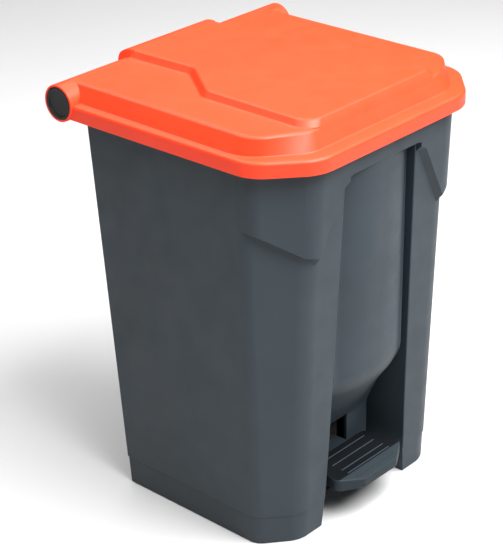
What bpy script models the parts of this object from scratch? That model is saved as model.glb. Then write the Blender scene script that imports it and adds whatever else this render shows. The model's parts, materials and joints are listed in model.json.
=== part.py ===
"""Pedal waste bin: a tapered plastic body, a lid hinged on a rear tube, and the linkage that lifts it.

Metres, +Z up, front towards -Y. The origin is on the floor at the middle of the overall width and depth.
Depths are measured towards the rear from the toe, the line where the front columns meet the floor.
"""

import math

import bmesh
import bpy
from mathutils import Matrix, Vector

GAP = 0.0003                     # clearance between pieces that touch
MERGE = 0.00001                  # points closer than this are one
CLEAR = 0.010                    # how far a cutter runs past the face it opens
REACH = 0.300                    # how far the widest cutters run to each side
TOE_Y = -0.1845                  # the toe line in the model's frame
FINE_ROUND = 48                  # segments of the hinge tube
ROUND = 32                       # segments of the larger round pieces
MEDIUM_ROUND = 24
SMALL_ROUND = 16                 # segments of pins and bores
SCREW_ROUND = 12
CORNER_STEPS = 6                 # facets in a rounded corner
MIN_RADIUS = 0.004               # an inner corner keeps at least this radius
SHARP_ANGLE = math.radians(35.0)

# Body
WALL = 0.0045
BODY_FOOT_Z = 0.0008             # the rubber feet hold the body this far off the floor
PLINTH_Z = 0.050
PLINTH_INSET = 0.0015
PLINTH_STEP_HALF_HEIGHT = 0.001
FLOOR_Z = 0.140                  # underside of the bucket's raised floor
FLANGE_Z = 0.646                 # where the rim flange starts to flare
FLANGE_TOP_Z = 0.6615
FLANGE_OUT = 0.007
FLANGE_FLARE = 0.004             # height over which it flares
BASE_HALF_WIDTH = 0.2112
SIDE_SLOPE = 0.0333              # outward lean of the side walls, metres per metre
REAR_DEPTH = 0.3275
REAR_SLOPE = 0.0409
FRONT_SLOPE = 0.0460
FRONT_CORNER_X = 0.1570
SIDE_CORNER_DEPTH = 0.0460
SIDE_CORNER_SLOPE = 0.0130
BODY_CORNER_RADII = (0.050, 0.030, 0.005)

# Upper band that steps forward over the columns, with a V-shaped lower edge on each side
BAND_OUT = 0.010
BAND_CORNER_X = 0.1590
BAND_SIDE_INSET = 0.0004
BAND_SIDE_FORWARD = 0.016        # how far forward of the body's side corner the band's corner is
BAND_LOW_Z = 0.470
BAND_REAR_DEPTH = 0.070
BAND_EDGE = ((0.1475, 0.4985), (0.0965, 0.5940), (0.0825, 0.6010), (0.0785, 0.6100))    # from the V's tip
BAND_OUTER = (0.2270, 0.558)
BAND_LEDGE = 0.0085              # how far the ledge slopes in along the front faces
BAND_CAVITY_RISE = 0.007         # the band's cavity starts this far above the recess

# Front recess between the columns, and the bucket's bulged front panel inside it
RECESS_DEPTH = 0.100
RECESS_FRONT = -0.150
RECESS_WIDTHS = ((-0.010, 0.1060), (0.060, 0.0990), (0.150, 0.0950), (0.608, 0.0820))
RECESS_TOP_Z = RECESS_WIDTHS[-1][0]
PANEL_TOP_Z = 0.612
PANEL_FOOT_Z = BODY_FOOT_Z + 0.001
PANEL_HALF_WIDTH_LOW = 0.0840
PANEL_HALF_WIDTH_HIGH = 0.0800
PANEL_DEPTH_MID = -0.0220        # depth of the panel's face at BELLY_HIGH_Z
PANEL_SLOPE = 0.0430
NECK_DEPTH = 0.060               # the panel turns back to this depth above the pedal
NECK_ROOF_Z = FLOOR_Z - 0.0005   # the floor is a little thicker over the neck
BELLY_HIGH_Z = 0.258
BELLY_LOW_Z = 0.114
BELLY_STEPS = 12
BELLY_EDGES = (0.16, 0.26)       # share of the belly's height over which it turns, low and high
PANEL_CURVE = 2.6                # power of the face's curve from its middle to its sides
PANEL_STEPS = 5
PANEL_RETURN = (0.003, 0.0165)   # how far back the side flange is, low and high
PANEL_RETURN_GAIN = 0.020        # how much further back it is per metre above the belly
PANEL_RETURN_RISE = 0.090
PANEL_FLANGE = 0.0055
BELLY_MARGIN = 0.002             # no belly ring closer than this to the panel's ends
WINDOW_HALF_WIDTH = 0.029
WINDOW_Z = (0.020, 0.125)
WINDOW_DEPTHS = (0.028, 0.076)

# Lid: an outline's corners are half width, depth and corner radius
LID_WALL = 0.003
SKIRT_Z = 0.643
RIM_Z = 0.667
DECK_Z = 0.694
RIM_OUTLINE = ((0.1700, -0.0566, 0.065), (0.2450, 0.0115, 0.060), (0.2480, 0.3928, 0.0))
GROOVE_OUTLINE = ((0.1640, -0.0312, 0.050), (0.2355, 0.0330, 0.070), (0.2345, 0.3928, 0.0))
DECK_OUTLINE = ((0.1490, -0.0175, 0.030), (0.2210, 0.0225, 0.038), (0.2205, 0.3928, 0.0))
RIM_ROUND = 0.006
HALF_ROUND_SHARE = 1.0 - math.sqrt(0.5)      # how far in a quarter round is half way along its arc
DECK_ROUND = 0.0015
UPPER_ROUND = 0.001
UPPER_REAR_Z = 0.7065
UPPER_FRONT_Z = 0.7040
UPPER_OUTLINE = ((0.145, -0.0120), (0.145, 0.1850), (0.086, 0.2660), (0.091, 0.3928))
UPPER_DRAFT = 0.004
UPPER_RADII = (0.027, 0.024, 0.024)
SEAM = 0.002                     # how far one joined form reaches into the next

# Hinge
HINGE_DEPTH = 0.3928
HINGE_Z = 0.6647
TUBE_RADIUS = 0.0293
TUBE_BORE = 0.0260
TUBE_HALF_LENGTH = 0.2505
UPPER_BARREL_RADIUS = UPPER_REAR_Z - HINGE_Z
UPPER_BARREL_HALF_LENGTH = 0.091
BARREL_END_SLOPE = 0.007         # length of the roll's sloping ends
BARREL_SINK = 0.0005             # the roll starts this far inside the tube's surface
BARREL_START_DEG = 96.0
BARREL_END_DEG = -8.0
BARREL_BLEND_DEG = 60.0          # the roll comes down to the tube over this angle
BARREL_STEPS = 12
HINGE_ROD_RADIUS = 0.006
HINGE_ROD_HALF_LENGTH = 0.240
CAP_LENGTH = 0.015
CAP_EDGE = 0.001
CAP_FIT = 0.0004                 # radial clearance of caps and bushes in the tube
BUSH_X = 0.190
BUSH_LENGTH = 0.014
EAR_X = 0.120
EAR_THICKNESS = 0.012
EAR_BOSS_RADIUS = 0.013
EAR_ARM_RADIUS = 0.0118          # the arm ends this far from the boss's axis
EAR_ROOT_Z = (0.598, 0.640)
EAR_TANGENT_DEG = (300.0, 125.0)                      # where the arm meets its boss, below and above
EAR_SLOT_CLEARANCE = 0.0015
EAR_SLOT_ANGLES = (190.0, 335.0)                      # degrees from +Y, counted towards +Z
CRANK_SLOT_ANGLES = (192.0, 243.0)
CRANK_SLOT_CLEARANCE = 0.0006
SLOT_REACH = 0.040
SLOT_STEPS = 8

# Linkage
CRANK_RADIUS = 0.065
LID_OPEN_DEG = 75.0
CRANK_REST_DEG = 180.0 + LID_OPEN_DEG / 2.0
CRANK_HALF_WIDTH = 0.009
CRANK_HUB_EXTRA = 0.002
CRANK_HUB_FIT = 0.0006           # the hub's radial clearance in the tube
CRANK_ROOT_HALF_HEIGHT = 0.0112
CRANK_EYE_RADIUS = 0.008
CRANK_FORK_START = 0.036
CRANK_FORK_REACH = 0.030
CRANK_FORK_HALF_GAP = 0.0046
CRANK_PIN_RADIUS = 0.003
PIN_HEAD_RADIUS = 0.0048
PIN_HEAD_HEIGHT = 0.002
ROD_RADIUS = 0.004
ROD_SLOPE = 0.046
ROD_HEAD_SET_BACK = 0.007        # the head sits this far in front of the crank pin at rest
ROD_HEAD_HALF_LENGTH = 0.0165
ROD_SLOT_HALF_LENGTH = 0.0125
ROD_SLOT_HALF_HEIGHT = 0.0045
ROD_HEAD_WALL = 0.004
ROD_HEAD_SIDE_GAP = 0.0008
ROD_HEAD_STEPS = 6
ROD_FOOT_Z = 0.0566
SHOE_Z = (0.0488, 0.0690)
SHOE_RADIUS = 0.008
SHOE_EDGE = 0.001
PIVOT_DEPTH = 0.101
PIVOT_Z = 0.052
LEVER_HALF_WIDTH = 0.012
LEVER_THICKNESS = 0.006
LEVER_HIGH_Z = 0.0662
LEVER_LOW_Z = 0.0450
LEVER_FRONT_DEPTH = -0.008
LEVER_BEND_DEPTHS = (0.062, 0.140)
LEVER_REAR_DEPTH = 0.3175
LEVER_BOSS_RADIUS = 0.011
LEVER_BOSS_HALF_LENGTH = 0.015
LEVER_BUSH_RADIUS = 0.008
LEVER_BUSH_INNER_X = 0.002
AXLE_RADIUS = 0.005
AXLE_HALF_LENGTH = 0.0375
CLIP_RADIUS = 0.009
CLIP_THICKNESS = 0.0012
BRACKET_X = 0.030
BRACKET_THICKNESS = 0.003
BRACKET_HALF_DEPTH = 0.018
BRACKET_FOOT_HALF_WIDTH = 0.048
BRACKET_LOW_Z = 0.040
BRACKET_SCREW_INSET = (0.008, 0.007)
BRACKET_SCREW_LENGTH = 0.0062
BRACKET_SCREW_HOLE = 0.0066

# Pedal
PEDAL_BOTTOM_Z = 0.0560
PEDAL_TOP_Z = 0.0770
PEDAL_NOSE_Z = 0.0720
PEDAL_SLOPE_DEPTH = -0.0120      # the tread slopes down forward of this depth
PEDAL_OUTLINE = ((0.040, -0.0350), (0.0820, -0.0100), (0.067, 0.0560))
PEDAL_RADII = (0.012, 0.014, 0.010)
PEDAL_CORNER_STEPS = 3
PEDAL_WALL = 0.0032
PEDAL_NECK_HALF_WIDTH = 0.026
PEDAL_NECK_DEPTHS = (0.0505, 0.082)
PEDAL_NECK_THICKNESS = 0.0067
PEDAL_NECK_DROP = 0.0005         # the neck's top is this far below the tread
PEDAL_SEAT_Z = LEVER_HIGH_Z + LEVER_THICKNESS / 2 + GAP
LEVER_WAY_CLEARANCE = 0.001
LEVER_WAY_DEPTHS = (0.045, 0.090)
PEDAL_BOSS_RADIUS = 0.006
PEDAL_BOSS_HEIGHT = 0.006
PEDAL_SCREW_SKIN = 0.002         # tread left above a screw's hole
PEDAL_SCREW_LENGTH = 0.011
RIB_DEPTHS = (0.042, 0.0229, 0.0035, -0.0090)
RIB_HALF_LENGTH = 0.0525
RIB_HALF_WIDTH = 0.0011
RIB_HEIGHT = 0.0014
RIB_ROOT = 0.001
PEDAL_SCREW_DEPTHS = (0.004, 0.040)

# Rear channel and small parts
CHANNEL_HALF_WIDTH = 0.022
CHANNEL_DEEP = 0.0383
CHANNEL_LOW_Z = 0.055
CHANNEL_HIGH_Z = 0.700
CHANNEL_CASING_LOW_Z = 0.100
COVER_HALF_WIDTH = 0.034
COVER_THICKNESS = 0.003
COVER_Z = (0.062, 0.600)
COVER_SCREW_INSET = (0.006, 0.014)
COVER_SCREW_LENGTH = 0.0085
COVER_SCREW_HOLE = (0.006, 0.012)           # centre's depth behind the rear face, and length
GUIDE_Z = (0.190, 0.520)
GUIDE_HALF_HEIGHT = 0.009
GUIDE_GAPS = (0.0008, 0.0012)    # in front of the guide, and behind it
SCREW_HEAD_RADIUS = 0.0042
SCREW_HEAD_HEIGHT = 0.0024
SCREW_SHANK_RADIUS = 0.0019
FOOT_RADIUS = 0.012
FOOT_HEIGHT = 0.0062
FOOT_EDGE = 0.0006
FOOT_BOSS_RADIUS = 0.017
FOOT_BOSS_TOP = 0.024
FOOT_PLACES = ((0.1240, 0.0210), (0.1900, 0.3040))     # half width, depth
BUFFER_RADIUS = 0.0042
BUFFER_HEIGHT = 0.0020
BUFFER_PLACES = ((0.150, -0.0385), (0.2362, 0.1500))

# Pieces that move together
LID_SET = (
    "lid",
    "hinge_cap_left",
    "hinge_cap_right",
    "hinge_bush_left",
    "hinge_bush_right",
    "lid_crank",
    "crank_pin",
)
PEDAL_SET = (
    "pedal",
    "pedal_lever",
    "lever_bush_left",
    "lever_bush_right",
    "pedal_screw_front",
    "pedal_screw_rear",
)
ROD_SET = ("push_rod", "rod_shoe")


def at_depth(distance):
    """Y of a point this far behind the toe."""
    return TOE_Y + distance


HINGE_Y = at_depth(HINGE_DEPTH)
PIN_Y = HINGE_Y + CRANK_RADIUS * math.cos(math.radians(CRANK_REST_DEG))
PIN_Z = HINGE_Z + CRANK_RADIUS * math.sin(math.radians(CRANK_REST_DEG))


def rod_y(height):
    """Y of the push rod's axis at a height."""
    return PIN_Y - ROD_HEAD_SET_BACK + (height - PIN_Z) * ROD_SLOPE


def rear_y(height):
    """Y of the body's rear face at a height."""
    return at_depth(REAR_DEPTH + height * REAR_SLOPE)


# ---------------------------------------------------------------- scene and objects

def clear_scene():
    for item in list(bpy.data.objects):
        bpy.data.objects.remove(item, do_unlink=True)


def new_collection(name):
    collection = bpy.data.collections.new(name)
    bpy.context.scene.collection.children.link(collection)
    return collection


def new_material(name, colour, roughness, metallic=0.0):
    material = bpy.data.materials.new(name)
    material.use_nodes = True
    shader = material.node_tree.nodes["Principled BSDF"]
    shader.inputs["Base Color"].default_value = (*colour, 1.0)
    shader.inputs["Roughness"].default_value = roughness
    shader.inputs["Metallic"].default_value = metallic
    material.diffuse_color = (*colour, 1.0)
    return material


clear_scene()
PARTS = new_collection("pedal_bin")
CUTTERS = new_collection("cutters")


def new_object(name, mesh, collection, material=None):
    item = bpy.data.objects.new(name, mesh)
    collection.objects.link(item)
    if material:
        item.data.materials.clear()
        item.data.materials.append(material)
    return item


def from_bmesh(name, form, collection, material=None):
    bmesh.ops.recalc_face_normals(form, faces=form.faces)
    mesh = bpy.data.meshes.new(name)
    form.to_mesh(mesh)
    form.free()
    mesh.shade_smooth()
    mesh.set_sharp_from_angle(angle=SHARP_ANGLE)
    return new_object(name, mesh, collection, material)


def boolean(target, tool, operation):
    modifier = target.modifiers.new(tool.name, "BOOLEAN")
    modifier.operation = operation
    modifier.object = tool
    modifier.solver = "EXACT"
    tool.hide_render = True
    tool.display_type = "WIRE"


def cut(target, *tools):
    for tool in tools:
        boolean(target, tool, "DIFFERENCE")


def join(target, *tools):
    for tool in tools:
        boolean(target, tool, "UNION")


# ---------------------------------------------------------------- outlines and solids

def offset_corners(corners, distance):
    """Move every edge of a counter-clockwise outline outwards, and return the new corners."""
    moved = []
    count = len(corners)
    for index in range(count):
        here = Vector(corners[index])
        before = (here - Vector(corners[index - 1])).normalized()
        after = (Vector(corners[(index + 1) % count]) - here).normalized()
        outward = Vector((before.y, -before.x)) + Vector((after.y, -after.x))
        moved.append(tuple(here + outward * (distance / (outward.length_squared / 2.0))))
    return moved


def round_corners(corners, radii, steps=CORNER_STEPS):
    """Replace each corner of an outline by an arc of the given radius."""
    points = []
    count = len(corners)
    for index in range(count):
        here = Vector(corners[index])
        to_before = (Vector(corners[index - 1]) - here).normalized()
        to_after = (Vector(corners[(index + 1) % count]) - here).normalized()
        radius = radii[index]
        if radius <= 0.0:
            points.append(tuple(here))
            continue
        half_angle = to_before.angle(to_after) / 2.0
        centre = here + (to_before + to_after).normalized() * (radius / math.sin(half_angle))
        start = here + to_before * (radius / math.tan(half_angle)) - centre
        turn = math.pi - 2.0 * half_angle
        cross = to_before.x * to_after.y - to_before.y * to_after.x
        direction = -1.0 if cross > 0.0 else 1.0
        for step in range(steps + 1):
            arm = start.copy()
            arm.rotate(Matrix.Rotation(direction * turn * step / steps, 2))
            points.append(tuple(centre + arm))
    return points


def mirrored(half):
    """Close a right-hand half outline, front to rear, with its mirror image: counter-clockwise from above."""
    return list(half) + [(-x, y) for x, y in reversed(half)]


def loft(name, rings, collection, material=None):
    """A closed solid through rings of points, bottom to top, all with the same number of points."""
    form = bmesh.new()
    rows = [[form.verts.new(point) for point in ring] for ring in rings]
    count = len(rows[0])
    for low, high in zip(rows, rows[1:]):
        for index in range(count):
            following = (index + 1) % count
            form.faces.new((low[index], low[following], high[following], high[index]))
    form.faces.new(list(reversed(rows[0])))
    form.faces.new(rows[-1])
    return from_bmesh(name, form, collection, material)


def at_height(outline, height):
    return [(x, y, height) for x, y in outline]


def box(name, low, high, collection=None, material=None):
    form = bmesh.new()
    bmesh.ops.create_cube(form, size=1.0)
    size = Vector(high) - Vector(low)
    middle = (Vector(high) + Vector(low)) / 2.0
    bmesh.ops.scale(form, vec=size, verts=form.verts)
    bmesh.ops.translate(form, vec=middle, verts=form.verts)
    return from_bmesh(name, form, collection or CUTTERS, material)


def axis_matrix(axis):
    """Turns a solid built along Z so that it runs along X, Y or Z."""
    return Vector((0, 0, 1)).rotation_difference(Vector(axis)).to_matrix().to_4x4()


def cylinder(name, centre, axis, radius, length, segments=SMALL_ROUND, collection=None, material=None):
    form = bmesh.new()
    bmesh.ops.create_cone(
        form, cap_ends=True, segments=segments, radius1=radius, radius2=radius, depth=length
    )
    item = from_bmesh(name, form, collection or CUTTERS, material)
    item.data.transform(axis_matrix(axis))
    item.location = centre
    return item


def turned(name, profile, centre, axis, segments, material, collection=None):
    """A solid of revolution from (radius, height) points. The outer side runs top to bottom, and a ring's
    profile ends on its first point."""
    mesh = bpy.data.meshes.new(name)
    edges = [(index, index + 1) for index in range(len(profile) - 1)]
    if profile[0] == profile[-1]:
        profile = profile[:-1]
        edges[-1] = (len(profile) - 1, 0)
    mesh.from_pydata([(radius, 0.0, height) for radius, height in profile], edges, [])
    item = new_object(name, mesh, collection or PARTS, material)
    screw = item.modifiers.new("turn", "SCREW")
    screw.steps = segments
    screw.render_steps = segments
    screw.use_merge_vertices = True
    screw.merge_threshold = MERGE
    screw.use_smooth_shade = True
    item.location = centre
    item.rotation_euler = axis_matrix(axis).to_euler()
    return item


def plate(name, outline, centre_x, half_thickness, collection=None, material=None):
    """A flat outline of (y, z) points, given a thickness along X, as a filled curve made into a mesh."""
    curve = bpy.data.curves.new(name, "CURVE")
    curve.dimensions = "2D"
    curve.fill_mode = "BOTH"
    curve.extrude = half_thickness
    spline = curve.splines.new("POLY")
    spline.points.add(len(outline) - 1)
    for point, (y, z) in zip(spline.points, outline):
        point.co = (y, z, 0.0, 1.0)
    spline.use_cyclic_u = True
    source = bpy.data.objects.new(name + "_outline", curve)
    CUTTERS.objects.link(source)
    mesh = bpy.data.meshes.new_from_object(source.evaluated_get(bpy.context.evaluated_depsgraph_get()))
    bpy.data.objects.remove(source, do_unlink=True)
    form = bmesh.new()
    form.from_mesh(mesh)
    bmesh.ops.remove_doubles(form, verts=form.verts, dist=MERGE)
    stand_up = Matrix(((0, 0, 1, centre_x), (1, 0, 0, 0), (0, 1, 0, 0), (0, 0, 0, 1)))
    bmesh.ops.transform(form, matrix=stand_up, verts=form.verts)
    return from_bmesh(name, form, collection or CUTTERS, material)


def ring_points(centre_y, centre_z, radius, start_deg, end_deg, steps):
    points = []
    for step in range(steps + 1):
        angle = math.radians(start_deg + (end_deg - start_deg) * step / steps)
        points.append((centre_y + radius * math.cos(angle), centre_z + radius * math.sin(angle)))
    return points


# ---------------------------------------------------------------- body

def hull_corners(height):
    half_width = BASE_HALF_WIDTH + height * SIDE_SLOPE
    front = at_depth(-height * FRONT_SLOPE)
    side_corner = at_depth(SIDE_CORNER_DEPTH - height * SIDE_CORNER_SLOPE)
    return mirrored([(FRONT_CORNER_X, front), (half_width, side_corner), (half_width, rear_y(height))])


def hull_ring(height, grow=0.0):
    radii = [max(radius + grow, MIN_RADIUS) for radius in BODY_CORNER_RADII]
    return at_height(round_corners(offset_corners(hull_corners(height), grow), radii + radii[::-1]), height)


def band_ring(height, grow=0.0):
    half_width = BASE_HALF_WIDTH + height * SIDE_SLOPE - BAND_SIDE_INSET
    front = at_depth(-height * FRONT_SLOPE - BAND_OUT)
    side_corner = at_depth(SIDE_CORNER_DEPTH - height * SIDE_CORNER_SLOPE - BAND_SIDE_FORWARD)
    half = [(BAND_CORNER_X, front), (half_width, side_corner), (half_width, at_depth(BAND_REAR_DEPTH))]
    corners = offset_corners(mirrored(half), grow)
    radii = [BODY_CORNER_RADII[0], BODY_CORNER_RADII[1], 0.0]
    return at_height(round_corners(corners, radii + radii[::-1]), height)


def smooth_step(value):
    value = min(max(value, 0.0), 1.0)
    return value * value * (3.0 - 2.0 * value)


def mix(low, high, share):
    return low + (high - low) * share


def belly_turn(height):
    """0 above the belly and 1 in the neck: a straight slope between two rounded turns."""
    share = min(max((BELLY_HIGH_Z - height) / (BELLY_HIGH_Z - BELLY_LOW_Z), 0.0), 1.0)
    low, high = BELLY_EDGES
    slope = 1.0 / (1.0 - (low + high) / 2)
    if share < high:
        return slope * share * share / (2 * high)
    if share > 1.0 - low:
        return 1.0 - slope * (1.0 - share) ** 2 / (2 * low)
    return slope * (share - high / 2)


def panel_face_depth(height):
    """Depth of the front panel's face: it leans out upwards, and its belly turns back to the neck below."""
    upper = PANEL_DEPTH_MID - (height - BELLY_HIGH_Z) * PANEL_SLOPE
    return upper + (NECK_DEPTH - upper) * belly_turn(height)


def panel_half_width(height):
    lean = min(max((height - BELLY_HIGH_Z) / (PANEL_TOP_Z - BELLY_HIGH_Z), 0.0), 1.0)
    return mix(PANEL_HALF_WIDTH_LOW, PANEL_HALF_WIDTH_HIGH, lean)


def panel_back(height):
    """How far the panel's sides are behind the middle of its face."""
    back = mix(*PANEL_RETURN, smooth_step((height - BELLY_LOW_Z) / PANEL_RETURN_RISE))
    return back + max(height - BELLY_HIGH_Z, 0.0) * PANEL_RETURN_GAIN


def panel_curve(height, half_width, face):
    """The right half of the panel's curved face, from beside its middle to its side."""
    back = panel_back(height)
    half = []
    for step in range(1, PANEL_STEPS + 1):
        share = step / PANEL_STEPS
        half.append((half_width * share, at_depth(face + back * share ** PANEL_CURVE)))
    return half


def panel_ring(height):
    """The curved face, then a narrow flange, then the panel's straight flanks."""
    outer = panel_half_width(height)
    face = panel_face_depth(height)
    half = panel_curve(height, outer - PANEL_FLANGE, face)
    half.append((outer, at_depth(face + panel_back(height))))
    half.append((outer, at_depth(RECESS_DEPTH + SEAM)))
    return at_height(mirrored(half), height)


def panel_cavity_ring(height):
    half_width = panel_half_width(height) - WALL - PANEL_FLANGE
    half = panel_curve(height, half_width, panel_face_depth(height) + WALL)
    half.append((half_width, at_depth(RECESS_DEPTH + CLEAR)))
    return at_height(mirrored(half), height)


def panel_heights(low, high):
    """Heights for the panel's rings: close together over the belly, and the two ends."""
    spacing = (BELLY_HIGH_Z - BELLY_LOW_Z) / BELLY_STEPS
    belly = [BELLY_LOW_Z + spacing * step for step in range(BELLY_STEPS + 1)]
    inner = [height for height in belly if low + BELLY_MARGIN < height < high - BELLY_MARGIN]
    return [low] + inner + [high]


def recess_form(name, grow, top, depth):
    """The space between the columns, which widens downwards."""
    rings = []
    for height, half_width in RECESS_WIDTHS:
        height = top if height == RECESS_TOP_Z else height
        x = half_width + grow
        front = at_depth(RECESS_FRONT)
        back = at_depth(depth)
        rings.append(at_height([(-x, front), (x, front), (x, back), (-x, back)], height))
    return loft(name, rings, CUTTERS)


def rear_channel(name, half_width, deep, low, high):
    """A straight groove that follows the lean of the rear face."""
    rings = []
    for height in (low, high):
        front = rear_y(height) - deep
        back = rear_y(height) + 3 * CLEAR
        corners = [(-half_width, front), (half_width, front), (half_width, back), (-half_width, back)]
        rings.append(at_height(corners, height))
    return loft(name, rings, CUTTERS)


def make_band():
    grow = FLANGE_OUT / 2
    flare = [(BAND_LOW_Z, 0.0), (FLANGE_Z, 0.0), (FLANGE_Z + FLANGE_FLARE, grow), (FLANGE_TOP_Z, grow)]
    band = loft("band", [band_ring(height, grow) for height, grow in flare], CUTTERS)
    (tip_x, tip_z), (outer_x, outer_z) = BAND_EDGE[0], BAND_OUTER
    side_z = outer_z + (REACH - outer_x) * (outer_z - tip_z) / (outer_x - tip_x)
    half = [(REACH, side_z), *BAND_EDGE]
    low = BAND_LOW_Z - CLEAR
    outer = [(REACH, low)] + half + [(-x, z) for x, z in reversed(half)] + [(-REACH, low)]
    inner = offset_corners(outer, -BAND_LEDGE)
    rings = []
    for share, back in ((0.0, REACH), (0.0, 0.0), (2.0, 0.0)):
        ring = []
        for (inner_x, inner_z), (outer_x, outer_z) in zip(inner, outer):
            x = mix(inner_x, outer_x, share)
            z = mix(inner_z, outer_z, share)
            ring.append((x, at_depth(back - z * FRONT_SLOPE - share * BAND_OUT), z))
        rings.append(ring)
    cut(band, loft("below_band_edge", rings, CUTTERS))
    return band


def make_bucket_cavity():
    """Everything inside the bucket, from its floor to its open top."""
    floor_top = FLOOR_Z + WALL
    above_rim = FLANGE_TOP_Z + CLEAR
    cavity = loft("bucket_cavity", [hull_ring(floor_top, -WALL), hull_ring(above_rim, -WALL)], CUTTERS)
    cut(cavity, recess_form("recess_casing", WALL, RECESS_TOP_Z + WALL, RECESS_DEPTH + WALL))
    half_width = CHANNEL_HALF_WIDTH + WALL
    deep = CHANNEL_DEEP + WALL
    cut(cavity, rear_channel("channel_casing", half_width, deep, CHANNEL_CASING_LOW_Z, CHANNEL_HIGH_Z))
    heights = panel_heights(floor_top, RECESS_TOP_Z - MIN_RADIUS)
    rings = [panel_cavity_ring(height) for height in heights]
    join(cavity, loft("panel_cavity", rings, CUTTERS))
    heights = (RECESS_TOP_Z + BAND_CAVITY_RISE, above_rim)
    join(cavity, loft("band_cavity", [band_ring(height, -WALL) for height in heights], CUTTERS))
    return cavity


def make_base_cavity():
    """The open space under the bucket's floor, with the neck that the lever passes through."""
    thin = -WALL - PLINTH_INSET
    cavity = loft("base_cavity", [hull_ring(-CLEAR, thin), hull_ring(FLOOR_Z, thin)], CUTTERS)
    cut(cavity, recess_form("base_recess_casing", WALL, RECESS_TOP_Z, RECESS_DEPTH + WALL))
    heights = panel_heights(-CLEAR - SEAM, NECK_ROOF_Z)
    rings = [panel_cavity_ring(height) for height in heights]
    join(cavity, loft("neck_cavity", rings, CUTTERS))
    return cavity


def make_ear(side):
    """A lug on the rear wall that reaches into the hinge tube and holds the rod."""
    low, high = EAR_ROOT_Z
    root_y = rear_y(low) - WALL / 2
    from_below, to_top = (math.radians(angle) for angle in EAR_TANGENT_DEG)
    outline = [
        (root_y, low),
        (HINGE_Y + EAR_ARM_RADIUS * math.cos(from_below), HINGE_Z + EAR_ARM_RADIUS * math.sin(from_below)),
        (HINGE_Y, HINGE_Z),
        (HINGE_Y + EAR_ARM_RADIUS * math.cos(to_top), HINGE_Z + EAR_ARM_RADIUS * math.sin(to_top)),
        (root_y, high),
    ]
    arm = plate(f"ear_arm_{side}", outline, side * EAR_X, EAR_THICKNESS / 2)
    centre = (side * EAR_X, HINGE_Y, HINGE_Z)
    length = EAR_THICKNESS + GAP
    join(arm, cylinder(f"ear_boss_{side}", centre, (1, 0, 0), EAR_BOSS_RADIUS, length, ROUND))
    cut(arm, cylinder(f"ear_bore_{side}", centre, (1, 0, 0), HINGE_ROD_RADIUS + GAP, 2 * length))
    return arm


def foot_places():
    for half_width, distance in FOOT_PLACES:
        for side in (-1, 1):
            yield side * half_width, at_depth(distance)


def make_body(material):
    rings = [
        hull_ring(BODY_FOOT_Z, -PLINTH_INSET),
        hull_ring(PLINTH_Z - PLINTH_STEP_HALF_HEIGHT, -PLINTH_INSET),
        hull_ring(PLINTH_Z + PLINTH_STEP_HALF_HEIGHT),
        hull_ring(FLANGE_Z),
        hull_ring(FLANGE_Z + FLANGE_FLARE, FLANGE_OUT),
        hull_ring(FLANGE_TOP_Z, FLANGE_OUT),
    ]
    body = loft("bin_body", rings, PARTS, material)
    join(body, make_band())
    cut(body, recess_form("front_recess", 0.0, RECESS_TOP_Z, RECESS_DEPTH))
    panel_rings = [panel_ring(height) for height in panel_heights(PANEL_FOOT_Z, PANEL_TOP_Z)]
    join(body, loft("front_panel", panel_rings, CUTTERS))
    cut(body, make_bucket_cavity(), make_base_cavity())
    up = (0, 0, 1)
    for index, (x, y) in enumerate(foot_places()):
        height = FOOT_BOSS_TOP - BODY_FOOT_Z
        centre = (x, y, BODY_FOOT_Z + height / 2)
        join(body, cylinder(f"foot_boss_{index}", centre, up, FOOT_BOSS_RADIUS, height, MEDIUM_ROUND))
        height = 2 * (FOOT_HEIGHT + GAP)
        socket = FOOT_RADIUS + GAP
        cut(body, cylinder(f"foot_socket_{index}", (x, y, 0), up, socket, height, MEDIUM_ROUND))
    cut(body, rear_channel("rod_channel", CHANNEL_HALF_WIDTH, CHANNEL_DEEP, CHANNEL_LOW_Z, CHANNEL_HIGH_Z))
    rebate = COVER_THICKNESS + GAP
    low, high = COVER_Z
    cut(body, rear_channel("cover_rebate", COVER_HALF_WIDTH + GAP, rebate, low - GAP, high + GAP))
    window_low = (-WINDOW_HALF_WIDTH, at_depth(WINDOW_DEPTHS[0]), WINDOW_Z[0])
    window_high = (WINDOW_HALF_WIDTH, at_depth(WINDOW_DEPTHS[1]), WINDOW_Z[1])
    cut(body, box("lever_window", window_low, window_high))
    for side in (-1, 1):
        join(body, make_ear(side))
    hole = SCREW_SHANK_RADIUS + GAP
    deep, length = COVER_SCREW_HOLE
    for index, (x, z) in enumerate(cover_screw_places()):
        centre = (x, rear_y(z) - deep, z)
        cut(body, cylinder(f"cover_screw_hole_{index}", centre, rear_normal(), hole, length))
    for index, (x, y) in enumerate(bracket_screw_places()):
        cut(body, cylinder(f"bracket_screw_hole_{index}", (x, y, FLOOR_Z), up, hole, BRACKET_SCREW_HOLE))
    return body


# ---------------------------------------------------------------- lid

def lid_ring(outline, height, grow=0.0, rear=HINGE_Y):
    half = [(x, min(at_depth(distance), rear)) for x, distance, radius in outline]
    corners = [(x, min(y, rear)) for x, y in offset_corners(mirrored(half), grow)]
    rounding = [max(radius + grow, MIN_RADIUS) if radius else 0.0 for x, distance, radius in outline]
    return at_height(round_corners(corners, rounding + rounding[::-1]), height)


def upper_deck_z(y):
    share = (y - at_depth(UPPER_OUTLINE[0][1])) / (HINGE_Y - at_depth(UPPER_OUTLINE[0][1]))
    return UPPER_FRONT_Z + (UPPER_REAR_Z - UPPER_FRONT_Z) * share


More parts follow.
